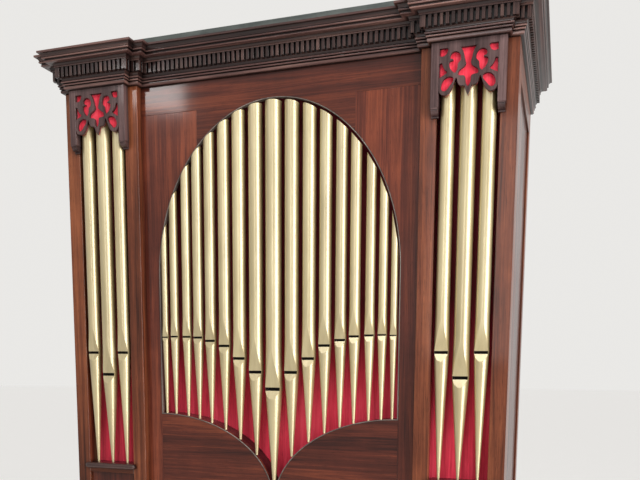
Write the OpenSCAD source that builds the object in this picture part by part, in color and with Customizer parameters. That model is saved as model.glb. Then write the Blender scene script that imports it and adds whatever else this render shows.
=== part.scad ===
/* [Case] */
// Width of the case across its two tower fronts
case_width = 1900; // [1700:10:2100]
// Depth of the case from the tower fronts to the back
case_depth = 850; // [700:10:1000]
// Height of the case up to the underside of the cornice
case_height = 2902; // [2850:1:3000]
// Height of the plinth
plinth_height = 130; // [90:5:180]
// How far the plinth stands out from the case
plinth_reach = 16; // [8:1:30]
// Height of the top of the waist rail above the floor
waist_height = 1110; // [1060:5:1150]
// Width of one tower front
tower_width = 351; // [330:1:370]
// Thickness of the boards of the tower fronts, which is how far the centre stands back
tower_board = 34; // [28:1:40]
// Thickness of the boards round the centre opening
centre_board = 16; // [12:1:20]
// Thickness of the framed sides
side_board = 26; // [20:1:32]
// Thickness of the framed back
back_board = 22; // [18:1:30]
// Thickness of the loose panels held in the frames
panel_board = 10; // [8:1:12]
// Depth of the groove that holds a panel
groove_depth = 8; // [5:1:10]
// Clearance between a panel and its groove, all round
groove_clear = 0.3; // [0.1:0.1:0.5]
// Width of the upright members of the side and back frames
frame_stile = 92; // [70:1:110]
// Width of the cross members of the frames
frame_rail = 104; // [80:1:120]
// Width of the upright members of the frame below the centre
lower_stile = 75; // [60:1:90]
// Width of the upright member in the middle of that frame
lower_muntin_width = 90; // [70:1:110]
// Height of the moulded belt at the waist
belt_height = 40; // [34:1:46]
// Reach of that belt
belt_reach = 20; // [16:1:24]

/* [Tower openings] */
// Width of the opening in a tower front
tower_open_width = 228; // [220:1:240]
// Height of the sill top above the waist rail
sill_rise = 197; // [180:1:215]
// Thickness of the sill
sill_thick = 24; // [18:1:30]
// How far the sill stands out in front of the tower
sill_reach = 22; // [14:1:30]
// How far the sill runs past the opening on each side
sill_return = 14; // [8:1:20]
// Height of the rail above a tower opening
tower_top_rail = 40; // [30:1:50]

/* [Centre opening] */
// Half the width of the centre opening
centre_open_half = 530; // [510:1:540]
// Depth of the boards between the cornice and the top of the arch
arch_margin = 94; // [88:1:104]
// Rise of the arch above its start
arch_rise = 684; // [670:1:690]
// Height of the outer ends of the two shoulders above the waist rail
shoulder_rise = 428; // [400:1:450]
// How far the shoulders fall to the point where they meet
shoulder_fall = 367; // [340:1:375]
// Distance of the upright joint in the top corners from the middle line
corner_joint = 340; // [300:1:380]
// How far the joint under the top rail lies below the top of the arch
joint_drop = 18; // [12:1:30]
// Width of the bead that lines the centre opening
bead_width = 4; // [3:0.5:6]
// How far the bead stands out from the boards
bead_proud = 2; // [1:0.5:4]
// Thickness of the ledge between the shoulders and the cloth behind them
ledge_thick = 22; // [16:1:30]

/* [Pipe shades] */
// Width over the frame of a pipe shade
shade_width = 268; // [260:1:280]
// Width of the upright strips of that frame
shade_strip = 29; // [24:1:34]
// How far the frame of a pipe shade stands out from the tower
shade_step = 34; // [26:1:40]
// Thickness of the fretted board
fret_board = 12; // [8:1:16]
// Length of the upright strips below the cornice
strip_length = 222; // [210:1:235]
// Height of the moulded stop under each strip
stop_height = 28; // [20:1:34]
// How far the fretted board hangs below the cornice, at its middle
fret_hang = 188; // [180:1:196]

/* [Cornice] */
// Reach of the lowest band of the architrave
architrave_reach = 14; // [10:1:18]
// Height of the architrave
architrave_height = 43; // [40:1:48]
// Height of the course of dentils
dentil_height = 40; // [34:1:46]
// Reach of the strip that carries the dentils
dentil_back_reach = 26; // [22:1:28]
// How far a dentil stands out from its strip
dentil_proud = 12; // [8:1:14]
// Distance from one dentil to the next
dentil_pitch = 20.9; // [18:0.1:24]
// Width of one dentil
dentil_width = 12; // [9:0.5:14]
// Height of the bed and the crown above the dentils
crown_height = 55; // [53:1:60]
// Reach of the top edge of the crown
crown_reach = 88; // [84:1:96]
// Thickness of the boards behind the cornice
frieze_board = 20; // [16:1:24]
// Thickness of the roof boards
roof_board = 18; // [14:1:22]
// Height of the grey board on top above the crown
top_board_rise = 62; // [40:1:80]
// Thickness of that board
top_board_thick = 20; // [14:1:26]
// Distance of that board behind the face of the centre
top_board_back = 8; // [2:1:20]

/* [Pipes] */
// Radius of the tallest pipe in the middle of the centre
middle_pipe_radius = 33.5; // [30:0.5:34]
// Radius of the middle pipe of a tower
tower_pipe_radius = 30; // [26:0.5:31]
// Radius of the two outer pipes of a tower
tower_side_pipe_radius = 26.5; // [24:0.5:28]
// Distance between the pipes of a tower
tower_pipe_pitch = 75; // [70:0.5:76]
// Height of the mouth of a tower's middle pipe above the sill
tower_mouth_above = 404; // [380:1:430]
// How much higher the mouths of its outer pipes are
tower_mouth_rise = 95; // [80:1:110]
// Radius of the small end of a pipe foot
foot_tip_radius = 5; // [4:0.5:7]
// Height of the slot of a mouth, as a share of the pipe radius
mouth_cut = 0.42; // [0.3:0.02:0.5]
// How much wider a pipe is at its mouth than at its body
mouth_flare = 1.09; // [1.02:0.01:1.12]
// Length of the leaf-shaped upper lip, as a share of the pipe radius
leaf_length = 4.5; // [3.5:0.1:5]
// Length of the lower lip, as a share of the pipe radius
lower_lip = 1.25; // [0.8:0.05:1.6]
// Distance of the pipe axes of the centre behind its face
centre_pipe_inset = 3; // [1:0.5:8]
// Distance of the pipe axes of a tower behind its face
tower_pipe_inset = 12; // [10:0.5:20]
// Clearance under a pipe foot
foot_seat = 0.3; // [0.2:0.1:0.5]
// Clearance between the outermost pipe of the centre and the bead beside it
pipe_side_clear = 5; // [3:1:8]
// Clearance between the tallest pipe and the bead above it
pipe_top_clear = 14; // [8:1:20]
// How far the third pipe from the left has slid towards its neighbour
stray_shift = 8; // [0:1:9]

/* [Cloth] */
// Thickness of the cloth with its lining
cloth_thick = 1.5; // [1:0.5:2]
// Distance of the centre cloth behind the centre boards
ledge_depth = 75; // [60:1:90]
// Distance of the cloth of a tower behind its boards
tower_cloth_back = 39; // [34:1:45]

/* [Hidden] */

// Colours of the materials
mahogany = "#6e3626";
mahogany_dark = "#54291f";
fret_brown = "#5d4538";
gilt = "#d9cd92";
crimson = "#c22f4c";
slate = "#4d5552";

// Pipes of the centre, from the middle outwards
pipe_share = [0, 0.149, 0.29, 0.419, 0.543, 0.653, 0.77, 0.868, 0.953];
pipe_radius = [middle_pipe_radius, 29, 27.5, 25, 23, 21.5, 19.5, 17.5, 13.5];
mouth_above_shoulder = [119, 188, 244, 296, 317, 331, 334, 335, 332];
stray_pipe = -6;

// Heights and places worked out from the sizes above
half_width = case_width / 2;
tower_middle = half_width - tower_width / 2;
centre_half = half_width - tower_width;
sill_height = waist_height + sill_rise;
shoulder_height = waist_height + shoulder_rise;
arch_spring = case_height - arch_margin - arch_rise;
cornice_height = architrave_height + dentil_height + crown_height;
crown_top = case_height + cornice_height;
forward = shade_step + crown_reach;
face_y = forward - (case_depth + forward) / 2;
centre_back = tower_board + centre_board;
joint_height = case_height - arch_margin - joint_drop;
tower_cloth_y = tower_board + tower_cloth_back;
centre_cloth_y = centre_back + ledge_depth;
box_board = 14;
box_gap = 30;
box_drop = 30;
cheek_drop = 40;
plinth_step = 18;
bottom_board = 18;
bottom_drop = 40;
belt_rail = 30;
sill_rail = 20;
board_lap = 8;
pipe_top_gap = 12;
cloth_tuck = 12;
roof_rebate = 1;
top_board_inset = 10;
stop_inset = 2;
sill_inside = 1;
dentil_lift = 1;
mouth_flat = 0.45;
slot_share = 0.84;
snap = 0.02;

module in_place() translate([0, face_y, 0]) children();

module mirrored(side) mirror([side < 0 ? 1 : 0, 0, 0]) children();

module front_plate(y, thick) translate([0, y + thick, 0]) rotate([90, 0, 0]) linear_extrude(thick) children();

module box_from(low, high) translate(low) cube(high - low);

// Points of an arc of an ellipse
function curve(mid, a, b, from, to, n = 48) =
    [for (i = [0:n]) mid + [a * cos(from + (to - from) * i / n), b * sin(from + (to - from) * i / n)]];

// Points of one cubic curve
function bend(p, q, r, s, n = 8) =
    [for (i = [0:n]) let (t = i / n, u = 1 - t)
        u * u * u * p + 3 * u * u * t * q + 3 * u * t * t * r + t * t * t * s];

// Height of the arch at a distance from the middle line
function arch_at(x) = arch_spring + arch_rise * sqrt(max(0, 1 - pow(x / centre_open_half, 2)));

// Height of a shoulder at a distance from the middle line
function shoulder_at(x) =
    shoulder_height - shoulder_fall
    + shoulder_fall * sqrt(max(0, 1 - pow(max(0, centre_open_half - x) / centre_open_half, 2)));

// Corners of the face line of the case in plan, from the back left round the front to the back right
left_line = [
    [-half_width, case_depth],
    [-half_width, 0],
    [-tower_middle - shade_width / 2, 0],
    [-tower_middle - shade_width / 2, -shade_step],
    [-tower_middle + shade_width / 2, -shade_step],
    [-tower_middle + shade_width / 2, 0],
    [-centre_half, 0],
    [-centre_half, tower_board]
];
face_line = concat(left_line, [for (i = [7:-1:0]) [-left_line[i][0], left_line[i][1]]]);
// The same line without the steps of the pipe shades
plain_line = [for (i = [0, 1, 6, 7, 8, 9, 14, 15]) face_line[i]];

function run_way(line, i) = (line[i + 1] - line[i]) / norm(line[i + 1] - line[i]);
function run_out(line, i) = [run_way(line, i)[1], -run_way(line, i)[0]];
function last_run(line) = len(line) - 2;

// A corner of the line moved outwards by a reach
function corner_out(line, i, reach) =
    line[i]
    + reach * (i > 0 ? run_out(line, i - 1) : [0, 0])
    + reach * (i <= last_run(line) ? run_out(line, i) : [0, 0]);

function line_out(line, reach) = [for (i = [0:len(line) - 1]) corner_out(line, i, reach)];

// A flat ring that follows the line between two reaches
module line_band(line, inner, outer, low, high) {
    points = concat(line_out(line, outer), [for (i = [len(line) - 1:-1:0]) corner_out(line, i, inner)]);
    translate([0, 0, low]) linear_extrude(high - low) polygon(points);
}

// One straight length of a moulding, mitred at both ends; profile points are [reach, height]
module moulding_run(line, i, profile, reach) {
    length = norm(line[i + 1] - line[i]);
    way = run_way(line, i);
    heights = [for (p = profile) p[1]];
    intersection() {
        translate([line[i][0], line[i][1], 0])
            rotate([0, 0, atan2(way[1], way[0])])
                translate([-reach, 0, 0])
                    rotate([90, 0, 90])
                        linear_extrude(length + 2 * reach)
                            polygon([for (p = profile) [-p[0], p[1]]]);
        translate([0, 0, min(heights) - 1])
            linear_extrude(max(heights) - min(heights) + 2)
                polygon([
                    line[i], line[i + 1],
                    corner_out(line, i + 1, reach), corner_out(line, i, reach)
                ]);
    }
}

module moulding(line, profile, reach) {
    for (i = [0:last_run(line)]) moulding_run(line, i, profile, reach);
}

// A profile drawn in shares of its reach and height, given its size and put at its height
function sized(profile, reach, height, low) = [for (p = profile) [p[0] * reach, low + p[1] * height]];

// A frame of boards lying in the XZ plane with grooved openings [x0, z0, x1, z1]
module grooved_frame(outer, openings, y, thick) {
    panel_y = y + (thick - panel_board) / 2;
    cut = groove_depth + groove_clear;
    difference() {
        box_from([outer[0], y, outer[1]], [outer[2], y + thick, outer[3]]);
        for (o = openings) {
            box_from([o[0], y - 1, o[1]], [o[2], y + thick + 1, o[3]]);
            box_from(
                [o[0] - cut, panel_y - groove_clear, o[1] - cut],
                [o[2] + cut, panel_y + panel_board + groove_clear, o[3] + cut]
            );
        }
    }
}

module grooved_panels(openings, y, thick) {
    panel_y = y + (thick - panel_board) / 2;
    for (o = openings)
        box_from(
            [o[0] - groove_depth, panel_y, o[1] - groove_depth],
            [o[2] + groove_depth, panel_y + panel_board, o[3] + groove_depth]
        );
}

// Openings of the case frames, each [x0, z0, x1, z1]
tower_panel_openings = [
    [-tower_open_width / 2, plinth_height + frame_rail, tower_open_width / 2, waist_height - frame_rail],
    [-tower_open_width / 2, waist_height + belt_rail,
        tower_open_width / 2, sill_height - sill_thick - sill_rail]
];
lower_panel_openings = [for (s = [0, 1]) [
    s * lower_muntin_width / 2 - (1 - s) * (centre_half - lower_stile), plinth_height + frame_rail,
    s * (centre_half - lower_stile) - (1 - s) * lower_muntin_width / 2, waist_height - frame_rail
]];
side_inner = case_depth - tower_board;
side_openings = [
    [frame_stile, plinth_height + frame_rail, side_inner - frame_stile, waist_height - frame_rail],
    [frame_stile, waist_height, side_inner - frame_stile, case_height - frame_rail]
];
back_half = half_width - side_board;
back_openings = [for (s = [0, 1]) for (t = [0, 1]) [
    s * frame_stile / 2 - (1 - s) * (back_half - frame_stile),
    t * waist_height + (1 - t) * (plinth_height + frame_rail),
    s * (back_half - frame_stile) - (1 - s) * frame_stile / 2,
    t * (case_height - frame_rail) + (1 - t) * (waist_height - frame_rail)
]];

// Lower case
module plinth() {
    color(mahogany_dark) in_place() {
        line_band(plain_line, -frieze_board, plinth_reach, 0, plinth_height - plinth_step);
        line_band(plain_line, -frieze_board, plinth_reach / 2, plinth_height - plinth_step, plinth_height);
        box_from([-half_width + frieze_board, case_depth - frieze_board, 0],
            [half_width - frieze_board, case_depth, plinth_height]);
    }
}

module bottom_boards() {
    inner = line_out(plain_line, -frieze_board - groove_clear);
    color(mahogany_dark) in_place()
        difference() {
            translate([0, 0, plinth_height - bottom_drop]) linear_extrude(bottom_board) polygon(inner);
            box_from([-half_width, case_depth - frieze_board - groove_clear, 0],
                [half_width, case_depth + 1, plinth_height]);
        }
}

module lower_centre_frame() {
    color(mahogany) in_place()
        grooved_frame([-centre_half, plinth_height, centre_half, waist_height],
            lower_panel_openings, tower_board, side_board);
}

module lower_centre_panels() {
    color(mahogany) in_place() grooved_panels(lower_panel_openings, tower_board, side_board);
}

// Moulded belt round the case at the waist
belt_shares = concat(
    [[0, 0], [0.3, 0], [0.3, 0.15]],
    curve([0.3, 0.5], 0.7, 0.35, -90, 90, 10),
    [[0.5, 0.85], [0.5, 1], [0, 1]]
);

module waist_moulding() {
    low = waist_height - 0.85 * belt_height;
    color(mahogany_dark) in_place()
        moulding(plain_line, sized(belt_shares, belt_reach, belt_height, low), 1.1 * belt_reach);
}

// Tower fronts
module tower_frame(side) {
    low = sill_height - sill_thick - foot_seat;
    cheek = tower_open_width / 2 + box_gap / 4;
    color(mahogany) in_place() mirrored(side) translate([tower_middle, 0, 0]) {
        difference() {
            grooved_frame([-tower_width / 2, plinth_height, tower_width / 2, case_height],
                tower_panel_openings, 0, tower_board);
            box_from([-tower_open_width / 2, -1, low],
                [tower_open_width / 2, tower_board + 1, case_height - tower_top_rail]);
        }
        for (s = [-1, 1])
            mirrored(s)
                box_from([cheek, tower_board, low - cheek_drop],
                    [cheek + box_board, tower_cloth_y, case_height - tower_top_rail]);
        box_from([-cheek - box_board, tower_board, case_height - tower_top_rail],
            [cheek + box_board, tower_cloth_y, case_height - tower_top_rail + box_board]);
        box_from([-cheek, tower_board, low - box_board], [cheek, tower_cloth_y, low]);
    }
}

module tower_panels(side) {
    color(mahogany) in_place() mirrored(side) translate([tower_middle, 0, 0])
        grooved_panels(tower_panel_openings, 0, tower_board);
}

// Sill with a rounded nose and returned ends, which carries the feet of the tower pipes
module sill(side) {
    half = tower_open_width / 2;
    nose = sill_thick / 2;
    color(mahogany_dark) in_place() mirrored(side) translate([tower_middle, 0, sill_height - sill_thick]) {
        box_from([-half + sill_inside, -snap, 0], [half - sill_inside, tower_cloth_y - 1, sill_thick]);
        box_from([-half - sill_return + nose, -sill_reach + nose, 0],
            [half + sill_return - nose, 0, sill_thick]);
        translate([-half - sill_return + nose, -sill_reach + nose, nose])
            rotate([0, 90, 0]) cylinder(r = nose, h = 2 * (half + sill_return - nose), $fn = 48);
        for (s = [-1, 1])
            translate([s * (half + sill_return - nose), 0, nose])
                rotate([90, 0, 0]) cylinder(r = nose, h = sill_reach - nose, $fn = 48);
        for (s = [-1, 1])
            translate([s * (half + sill_return - nose), -sill_reach + nose, nose]) sphere(r = nose, $fn = 48);
    }
}

// Centre front
corner_angle = acos(corner_joint / centre_open_half);

module centre_stile(side) {
    outer = centre_half + tower_board - board_lap;
    color(mahogany) in_place() mirrored(side)
        front_plate(tower_board, centre_board)
            polygon(concat(
                [[outer, waist_height], [centre_open_half, waist_height]],
                curve([0, arch_spring], centre_open_half, arch_rise, 0, corner_angle, 40),
                [[corner_joint, joint_height], [outer, joint_height]]
            ));
}

module centre_top_rail() {
    outer = centre_half + tower_board - board_lap;
    color(mahogany) in_place()
        front_plate(tower_board, centre_board)
            polygon(concat(
                [[outer, case_height], [outer, joint_height], [corner_joint, joint_height]],
                curve([0, arch_spring], centre_open_half, arch_rise, corner_angle, 180 - corner_angle, 64),
                [[-corner_joint, joint_height], [-outer, joint_height], [-outer, case_height]]
            ));
}

// Outline of a shoulder, drawn for the right-hand side
function shoulder_curve(grow) = curve(
    [centre_open_half, shoulder_height - shoulder_fall],
    centre_open_half + grow, shoulder_fall + grow, 180, 90, 64
);

module shoulder(side) {
    color(mahogany) in_place() mirrored(side)
        front_plate(tower_board, centre_board)
            polygon(concat(
                [[centre_open_half, waist_height], [0, waist_height]],
                shoulder_curve(0)
            ));
}

module opening_bead() {
    thick = centre_board + bead_proud;
    color(fret_brown) in_place() front_plate(tower_board - bead_proud, thick) {
        polygon(concat(
            [[centre_open_half, shoulder_height]],
            curve([0, arch_spring], centre_open_half, arch_rise, 0, 180, 120),
            [[-centre_open_half, shoulder_height], [-centre_open_half + bead_width, shoulder_height]],
            curve([0, arch_spring], centre_open_half - bead_width, arch_rise - bead_width, 180, 0, 120),
            [[centre_open_half - bead_width, shoulder_height]]
        ));
    }
}

// Ledge behind the shoulders, with its outer ends carried out level
module pipe_ledge() {
    end = centre_open_half + box_gap + box_board;
    inside = shoulder_curve(-ledge_thick);
    color(mahogany_dark) in_place()
        for (s = [-1, 1]) mirrored(s)
            front_plate(centre_back, ledge_depth)
                polygon(concat(
                    shoulder_curve(0),
                    [[end, shoulder_height], [end, shoulder_height - ledge_thick]],
                    [for (i = [len(inside) - 1:-1:0]) inside[i]]
                ));
}

// Boards on edge behind the centre front, which close the space behind the pipes
module pipe_box() {
    cheek = centre_open_half + box_gap;
    top = case_height - box_drop;
    color(mahogany_dark) in_place() {
        for (s = [-1, 1]) mirrored(s)
            box_from([cheek, centre_back, shoulder_height], [cheek + box_board, centre_cloth_y, top]);
        box_from([-cheek - box_board, centre_back, top - box_board],
            [cheek + box_board, centre_cloth_y, top]);
    }
}

// Framed sides, drawn in the plane of the front and turned round to the side
module to_side(side) {
    mirrored(side)
        translate([half_width, tower_board, 0]) rotate([0, 0, 90]) children();
}

module side_frame(side) {
    color(mahogany) in_place() to_side(side)
        grooved_frame([0, plinth_height, side_inner, case_height], side_openings, 0, side_board);
}

module side_panels(side) {
    color(mahogany) in_place() to_side(side) grooved_panels(side_openings, 0, side_board);
}

// Framed back
module back_frame() {
    color(mahogany_dark) in_place()
        grooved_frame([-back_half, plinth_height, back_half, case_height],
            back_openings, case_depth - back_board, back_board);
}

module back_panels() {
    color(mahogany_dark) in_place() grooved_panels(back_openings, case_depth - back_board, back_board);
}

// Cornice
module frieze_boards() {
    low = case_height;
    high = crown_top - roof_board;
    color(mahogany_dark) in_place() {
        line_band(face_line, -frieze_board, 0, low, high);
        box_from([-half_width + frieze_board, case_depth - frieze_board, low],
            [half_width - frieze_board, case_depth, high]);
    }
}

// A half-round rib whose face reaches out to a given reach, in shares of a moulding
function reed(reach, low, high, deep) =
    curve([reach - deep, (low + high) / 2], deep, (high - low) / 2, -90, 90, 8);

// Fascia, two reeds and a hollow; reach is in shares of the strip that carries the dentils
fascia_share = architrave_reach / dentil_back_reach;
architrave_shares = concat(
    [[0, 0], [fascia_share - 0.25, 0], [fascia_share, 0.08]],
    [[fascia_share, 0.3], [fascia_share - 0.15, 0.33]],
    reed(fascia_share + 0.15, 0.37, 0.56, 0.15),
    reed(fascia_share + 0.31, 0.58, 0.79, 0.17),
    [[fascia_share + 0.19, 0.81]],
    curve([1, 0.81], 0.81 - fascia_share, 0.19, 180, 90, 6),
    [[0, 1]]
);

module architrave() {
    color(mahogany_dark) in_place()
        moulding(face_line, sized(architrave_shares, dentil_back_reach, architrave_height, case_height),
            1.2 * dentil_back_reach);
}

module dentils_on(line, i, low) {
    face = dentil_back_reach + dentil_proud;
    start = corner_out(line, i, face);
    length = norm(corner_out(line, i + 1, face) - start);
    way = run_way(line, i);
    count = max(1, floor((length + dentil_pitch - dentil_width) / dentil_pitch));
    first = (length - (count - 1) * dentil_pitch - dentil_width) / 2;
    translate([start[0], start[1], low])
        rotate([0, 0, atan2(way[1], way[0])])
            for (k = [0:count - 1])
                translate([first + k * dentil_pitch, 0, 0])
                    cube([dentil_width, dentil_proud + snap, dentil_height - dentil_lift]);
}

module dentil_course() {
    low = case_height + architrave_height;
    color(mahogany_dark) in_place() {
        line_band(face_line, 0, dentil_back_reach, low, low + dentil_height);
        for (i = [0:last_run(face_line)]) dentils_on(face_line, i, low + dentil_lift);
    }
}

// Bed mould, soffit, two reeds with a fillet between them, hollow and top edge
bed_share = (dentil_back_reach + dentil_proud) / crown_reach;
crown_shares = concat(
    [[0, 0], [bed_share + 0.03, 0], [bed_share + 0.03, 0.13], [bed_share + 0.08, 0.24], [0.72, 0.24]],
    reed(0.78, 0.26, 0.38, 0.04),
    [[0.75, 0.38], [0.75, 0.47]],
    reed(0.85, 0.47, 0.61, 0.05),
    curve([0.97, 0.62], 0.13, 0.23, 180, 90, 8),
    [[1, 0.85], [1, 0.98], [0.99, 1], [0, 1]]
);

module crown_moulding() {
    low = case_height + architrave_height + dentil_height;
    color(mahogany) in_place()
        moulding(face_line, sized(crown_shares, crown_reach, crown_height, low), 1.07 * crown_reach);
}

module roof_boards() {
    color(mahogany_dark) in_place()
        translate([0, 0, crown_top - roof_board])
            linear_extrude(roof_board - roof_rebate) polygon(line_out(face_line, -groove_clear));
}

module top_board() {
    color(slate) in_place()
        box_from([-half_width + top_board_inset, tower_board + top_board_back, crown_top - roof_rebate],
            [
                half_width - top_board_inset,
                tower_board + top_board_back + top_board_thick,
                crown_top + top_board_rise
            ]);
}

// Pipe shades; the outlines are drawn for the right half, in shares of its width and of its height
fret_half = shade_width / 2 - shade_strip;

function in_fret(points) = [for (p = points) [p[0] * fret_half, -p[1] * fret_hang]];

fret_edge = in_fret(concat(
    [[1, 0], [1, 0.85]],
    bend([1, 0.85], [0.99, 0.93], [0.91, 0.97], [0.78, 0.97], 6),
    bend([0.78, 0.97], [0.66, 0.97], [0.58, 0.91], [0.53, 0.84], 6),
    bend([0.53, 0.84], [0.48, 0.78], [0.46, 0.7], [0.4, 0.67], 6),
    bend([0.4, 0.67], [0.35, 0.71], [0.37, 0.8], [0.25, 0.82], 8),
    bend([0.25, 0.82], [0.2, 0.83], [0.14, 0.81], [0.11, 0.84], 4),
    bend([0.11, 0.84], [0.08, 0.9], [0.05, 0.96], [0, 1], 4)
));

// Vase in the middle, wide at the top and at its foot
vase_edge = in_fret(concat(
    bend([0.28, 0.13], [0.19, 0.17], [0.15, 0.25], [0.125, 0.33], 6),
    bend([0.125, 0.33], [0.105, 0.37], [0.085, 0.4], [0.085, 0.43], 3),
    bend([0.085, 0.43], [0.1, 0.48], [0.2, 0.5], [0.27, 0.53], 6),
    bend([0.27, 0.53], [0.34, 0.55], [0.37, 0.61], [0.32, 0.63], 6),
    bend([0.32, 0.63], [0.26, 0.65], [0.13, 0.62], [0.095, 0.68], 6),
    bend([0.095, 0.68], [0.095, 0.74], [0.08, 0.81], [0, 0.85], 5)
));

// Leaf on each side of the vase, with a curl cut into its inner edge and a spur in its outer edge
side_leaf = in_fret(concat(
    bend([0.45, 0.585], [0.38, 0.55], [0.36, 0.51], [0.36, 0.46], 6),
    bend([0.36, 0.46], [0.37, 0.39], [0.25, 0.4], [0.25, 0.325], 6),
    bend([0.25, 0.325], [0.25, 0.245], [0.34, 0.195], [0.46, 0.195], 8),
    bend([0.46, 0.195], [0.57, 0.195], [0.64, 0.245], [0.62, 0.3], 6),
    bend([0.62, 0.3], [0.61, 0.325], [0.55, 0.335], [0.51, 0.34], 3),
    bend([0.51, 0.34], [0.59, 0.345], [0.66, 0.36], [0.66, 0.4], 5),
    bend([0.66, 0.4], [0.66, 0.47], [0.57, 0.55], [0.45, 0.585], 8)
));

corner_square = in_fret(concat(
    [[0.68, 0.14], [0.73, 0.12], [0.985, 0.12], [0.985, 0.245]],
    bend([0.985, 0.245], [0.93, 0.275], [0.8, 0.275], [0.73, 0.215], 6)
));

side_triangle = in_fret(concat(
    [[0.985, 0.65], [0.985, 0.39], [0.9, 0.38]],
    bend([0.9, 0.38], [0.86, 0.45], [0.84, 0.5], [0.73, 0.54], 6),
    bend([0.73, 0.54], [0.67, 0.57], [0.82, 0.6], [0.985, 0.65], 6)
));

corner_drop = in_fret(concat(
    bend([0.49, 0.68], [0.53, 0.63], [0.72, 0.615], [0.84, 0.69], 8),
    bend([0.84, 0.69], [0.91, 0.735], [0.95, 0.81], [0.9, 0.865], 6),
    bend([0.9, 0.865], [0.84, 0.915], [0.72, 0.905], [0.65, 0.83], 8),
    bend([0.65, 0.83], [0.57, 0.775], [0.48, 0.745], [0.49, 0.68], 6)
));

module both_halves() {
    children();
    mirror([1, 0]) children();
}

module fret_outline() {
    polygon(concat(fret_edge, [for (i = [len(fret_edge) - 2:-1:0]) [-fret_edge[i][0], fret_edge[i][1]]]));
}

module fret_holes() {
    polygon(concat(vase_edge, [for (i = [len(vase_edge) - 2:-1:0]) [-vase_edge[i][0], vase_edge[i][1]]]));
    both_halves() {
        polygon(side_leaf);
        polygon(corner_square);
        polygon(side_triangle);
        polygon(corner_drop);
    }
}

module at_shade(side) in_place() mirrored(side) translate([tower_middle, 0, case_height]) children();

module shade_fret(side) {
    color(fret_brown) at_shade(side)
        front_plate(-shade_step, fret_board)
            difference() {
                fret_outline();
                fret_holes();
            }
}

module shade_cloth(side) {
    color("#e0304a") at_shade(side)
        front_plate(-shade_step + fret_board + snap, cloth_thick)
            intersection() {
                translate([-fret_half, -fret_hang]) square([2 * fret_half, fret_hang]);
                fret_outline();
            }
}

// Two upright strips, each ending in a moulded stop
module shade_frame(side) {
    stop_shares = concat(
        [[0, 0], [-1, 0], [-1, -0.18], [-0.88, -0.18]],
        curve([-0.12, -0.18], 0.76, 0.6, 180, 270, 10),
        [[-0.18, -0.78], [-0.18, -1], [0, -1]]
    );
    color(fret_brown) at_shade(side)
        for (s = [-1, 1]) mirrored(s) {
            box_from([fret_half + snap, -shade_step, -strip_length], [shade_width / 2, 0, 0]);
            translate([fret_half + stop_inset, 0, -strip_length])
                rotate([90, 0, 90]) linear_extrude(shade_strip - 2 * stop_inset)
                    polygon(sized(stop_shares, shade_step, stop_height, 0));
        }
}

// Pipe: a round body that widens to the mouth, a leaf-shaped upper lip, a slot, a lower lip and a foot
module pipe(radius, tip, mouth, top) {
    wide = radius * mouth_flare;
    flat = mouth_flat * wide;
    leaf = leaf_length * radius;
    sink = radius - flat;
    sweep = (leaf * leaf + sink * sink) / (2 * sink);
    cut = mouth_cut * radius;
    lip = lower_lip * radius;
    difference() {
        rotate_extrude($fn = 44)
            polygon([
                [0, tip], [foot_tip_radius, tip], [wide, mouth],
                [radius, mouth + leaf], [radius, top], [0, top]
            ]);
        difference() {
            box_from([-wide - 1, -2 * wide, mouth - 1], [wide + 1, 0, mouth + leaf]);
            translate([-2 * wide, sweep - radius + snap, mouth + leaf])
                rotate([0, 90, 0]) cylinder(r = sweep, h = 4 * wide, $fn = 96);
        }
        translate([-wide - 1, 0, mouth])
            rotate([90, 0, 90]) linear_extrude(2 * wide + 2)
                polygon([
                    [-2 * wide, 0], [-flat, 0], [-flat, -cut], [-wide, -cut - lip], [-2 * wide, -cut - lip]
                ]);
        box_from([-slot_share * wide, -2 * wide, mouth - cut], [slot_share * wide, flat, mouth]);
    }
}

function foot_height(x) = shoulder_at(abs(x) + foot_tip_radius) + foot_seat;
function pipe_x(k) =
    (k < 0 ? -1 : 1) * pipe_share[abs(k)] * centre_open_half + (k == stray_pipe ? stray_shift : 0);

// Space under the arch that the pipe tops are sawn to
module under_arch() {
    half = centre_open_half - bead_width - pipe_side_clear;
    rise = arch_rise - bead_width - pipe_top_clear;
    front_plate(0, centre_back + ledge_depth)
        polygon(concat(
            [[-centre_open_half, arch_spring], [-centre_open_half, waist_height]],
            [[centre_open_half, waist_height], [centre_open_half, arch_spring]],
            curve([0, arch_spring], half, rise, 0, 180, 120)
        ));
}

module centre_pipes() {
    color(gilt) in_place() intersection() {
        union() {
            for (k = [-8:8]) {
                radius = pipe_radius[abs(k)];
                x = pipe_x(k);
                translate([x, tower_board + centre_pipe_inset, 0])
                    pipe(radius, foot_height(x), shoulder_height + mouth_above_shoulder[abs(k)],
                        arch_at(abs(x) - min(abs(x), radius)));
            }
        }
        under_arch();
    }
}

module tower_pipes(side) {
    top = case_height - tower_top_rail - pipe_top_gap;
    mouth = sill_height + tower_mouth_above;
    color(gilt) in_place() mirrored(side)
        for (k = [-1:1]) {
            radius = k == 0 ? tower_pipe_radius : tower_side_pipe_radius;
            translate([tower_middle + k * tower_pipe_pitch, tower_pipe_inset, 0])
                pipe(radius, sill_height + foot_seat, mouth + abs(k) * tower_mouth_rise, top);
        }
}

// Cloth behind the pipes
module centre_cloth() {
    half = centre_open_half + box_gap + box_board;
    color(crimson) in_place()
        front_plate(centre_cloth_y + foot_seat, cloth_thick)
            union() {
                for (s = [0, 1])
                    mirror([s, 0])
                        polygon(concat(
                            [[half, case_height - box_drop], [0, case_height - box_drop]],
                            [for (p = shoulder_curve(-ledge_thick / 2)) [max(0, p[0]), p[1]]],
                            [[half, shoulder_height - ledge_thick / 2]]
                        ));
            }
}

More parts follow.
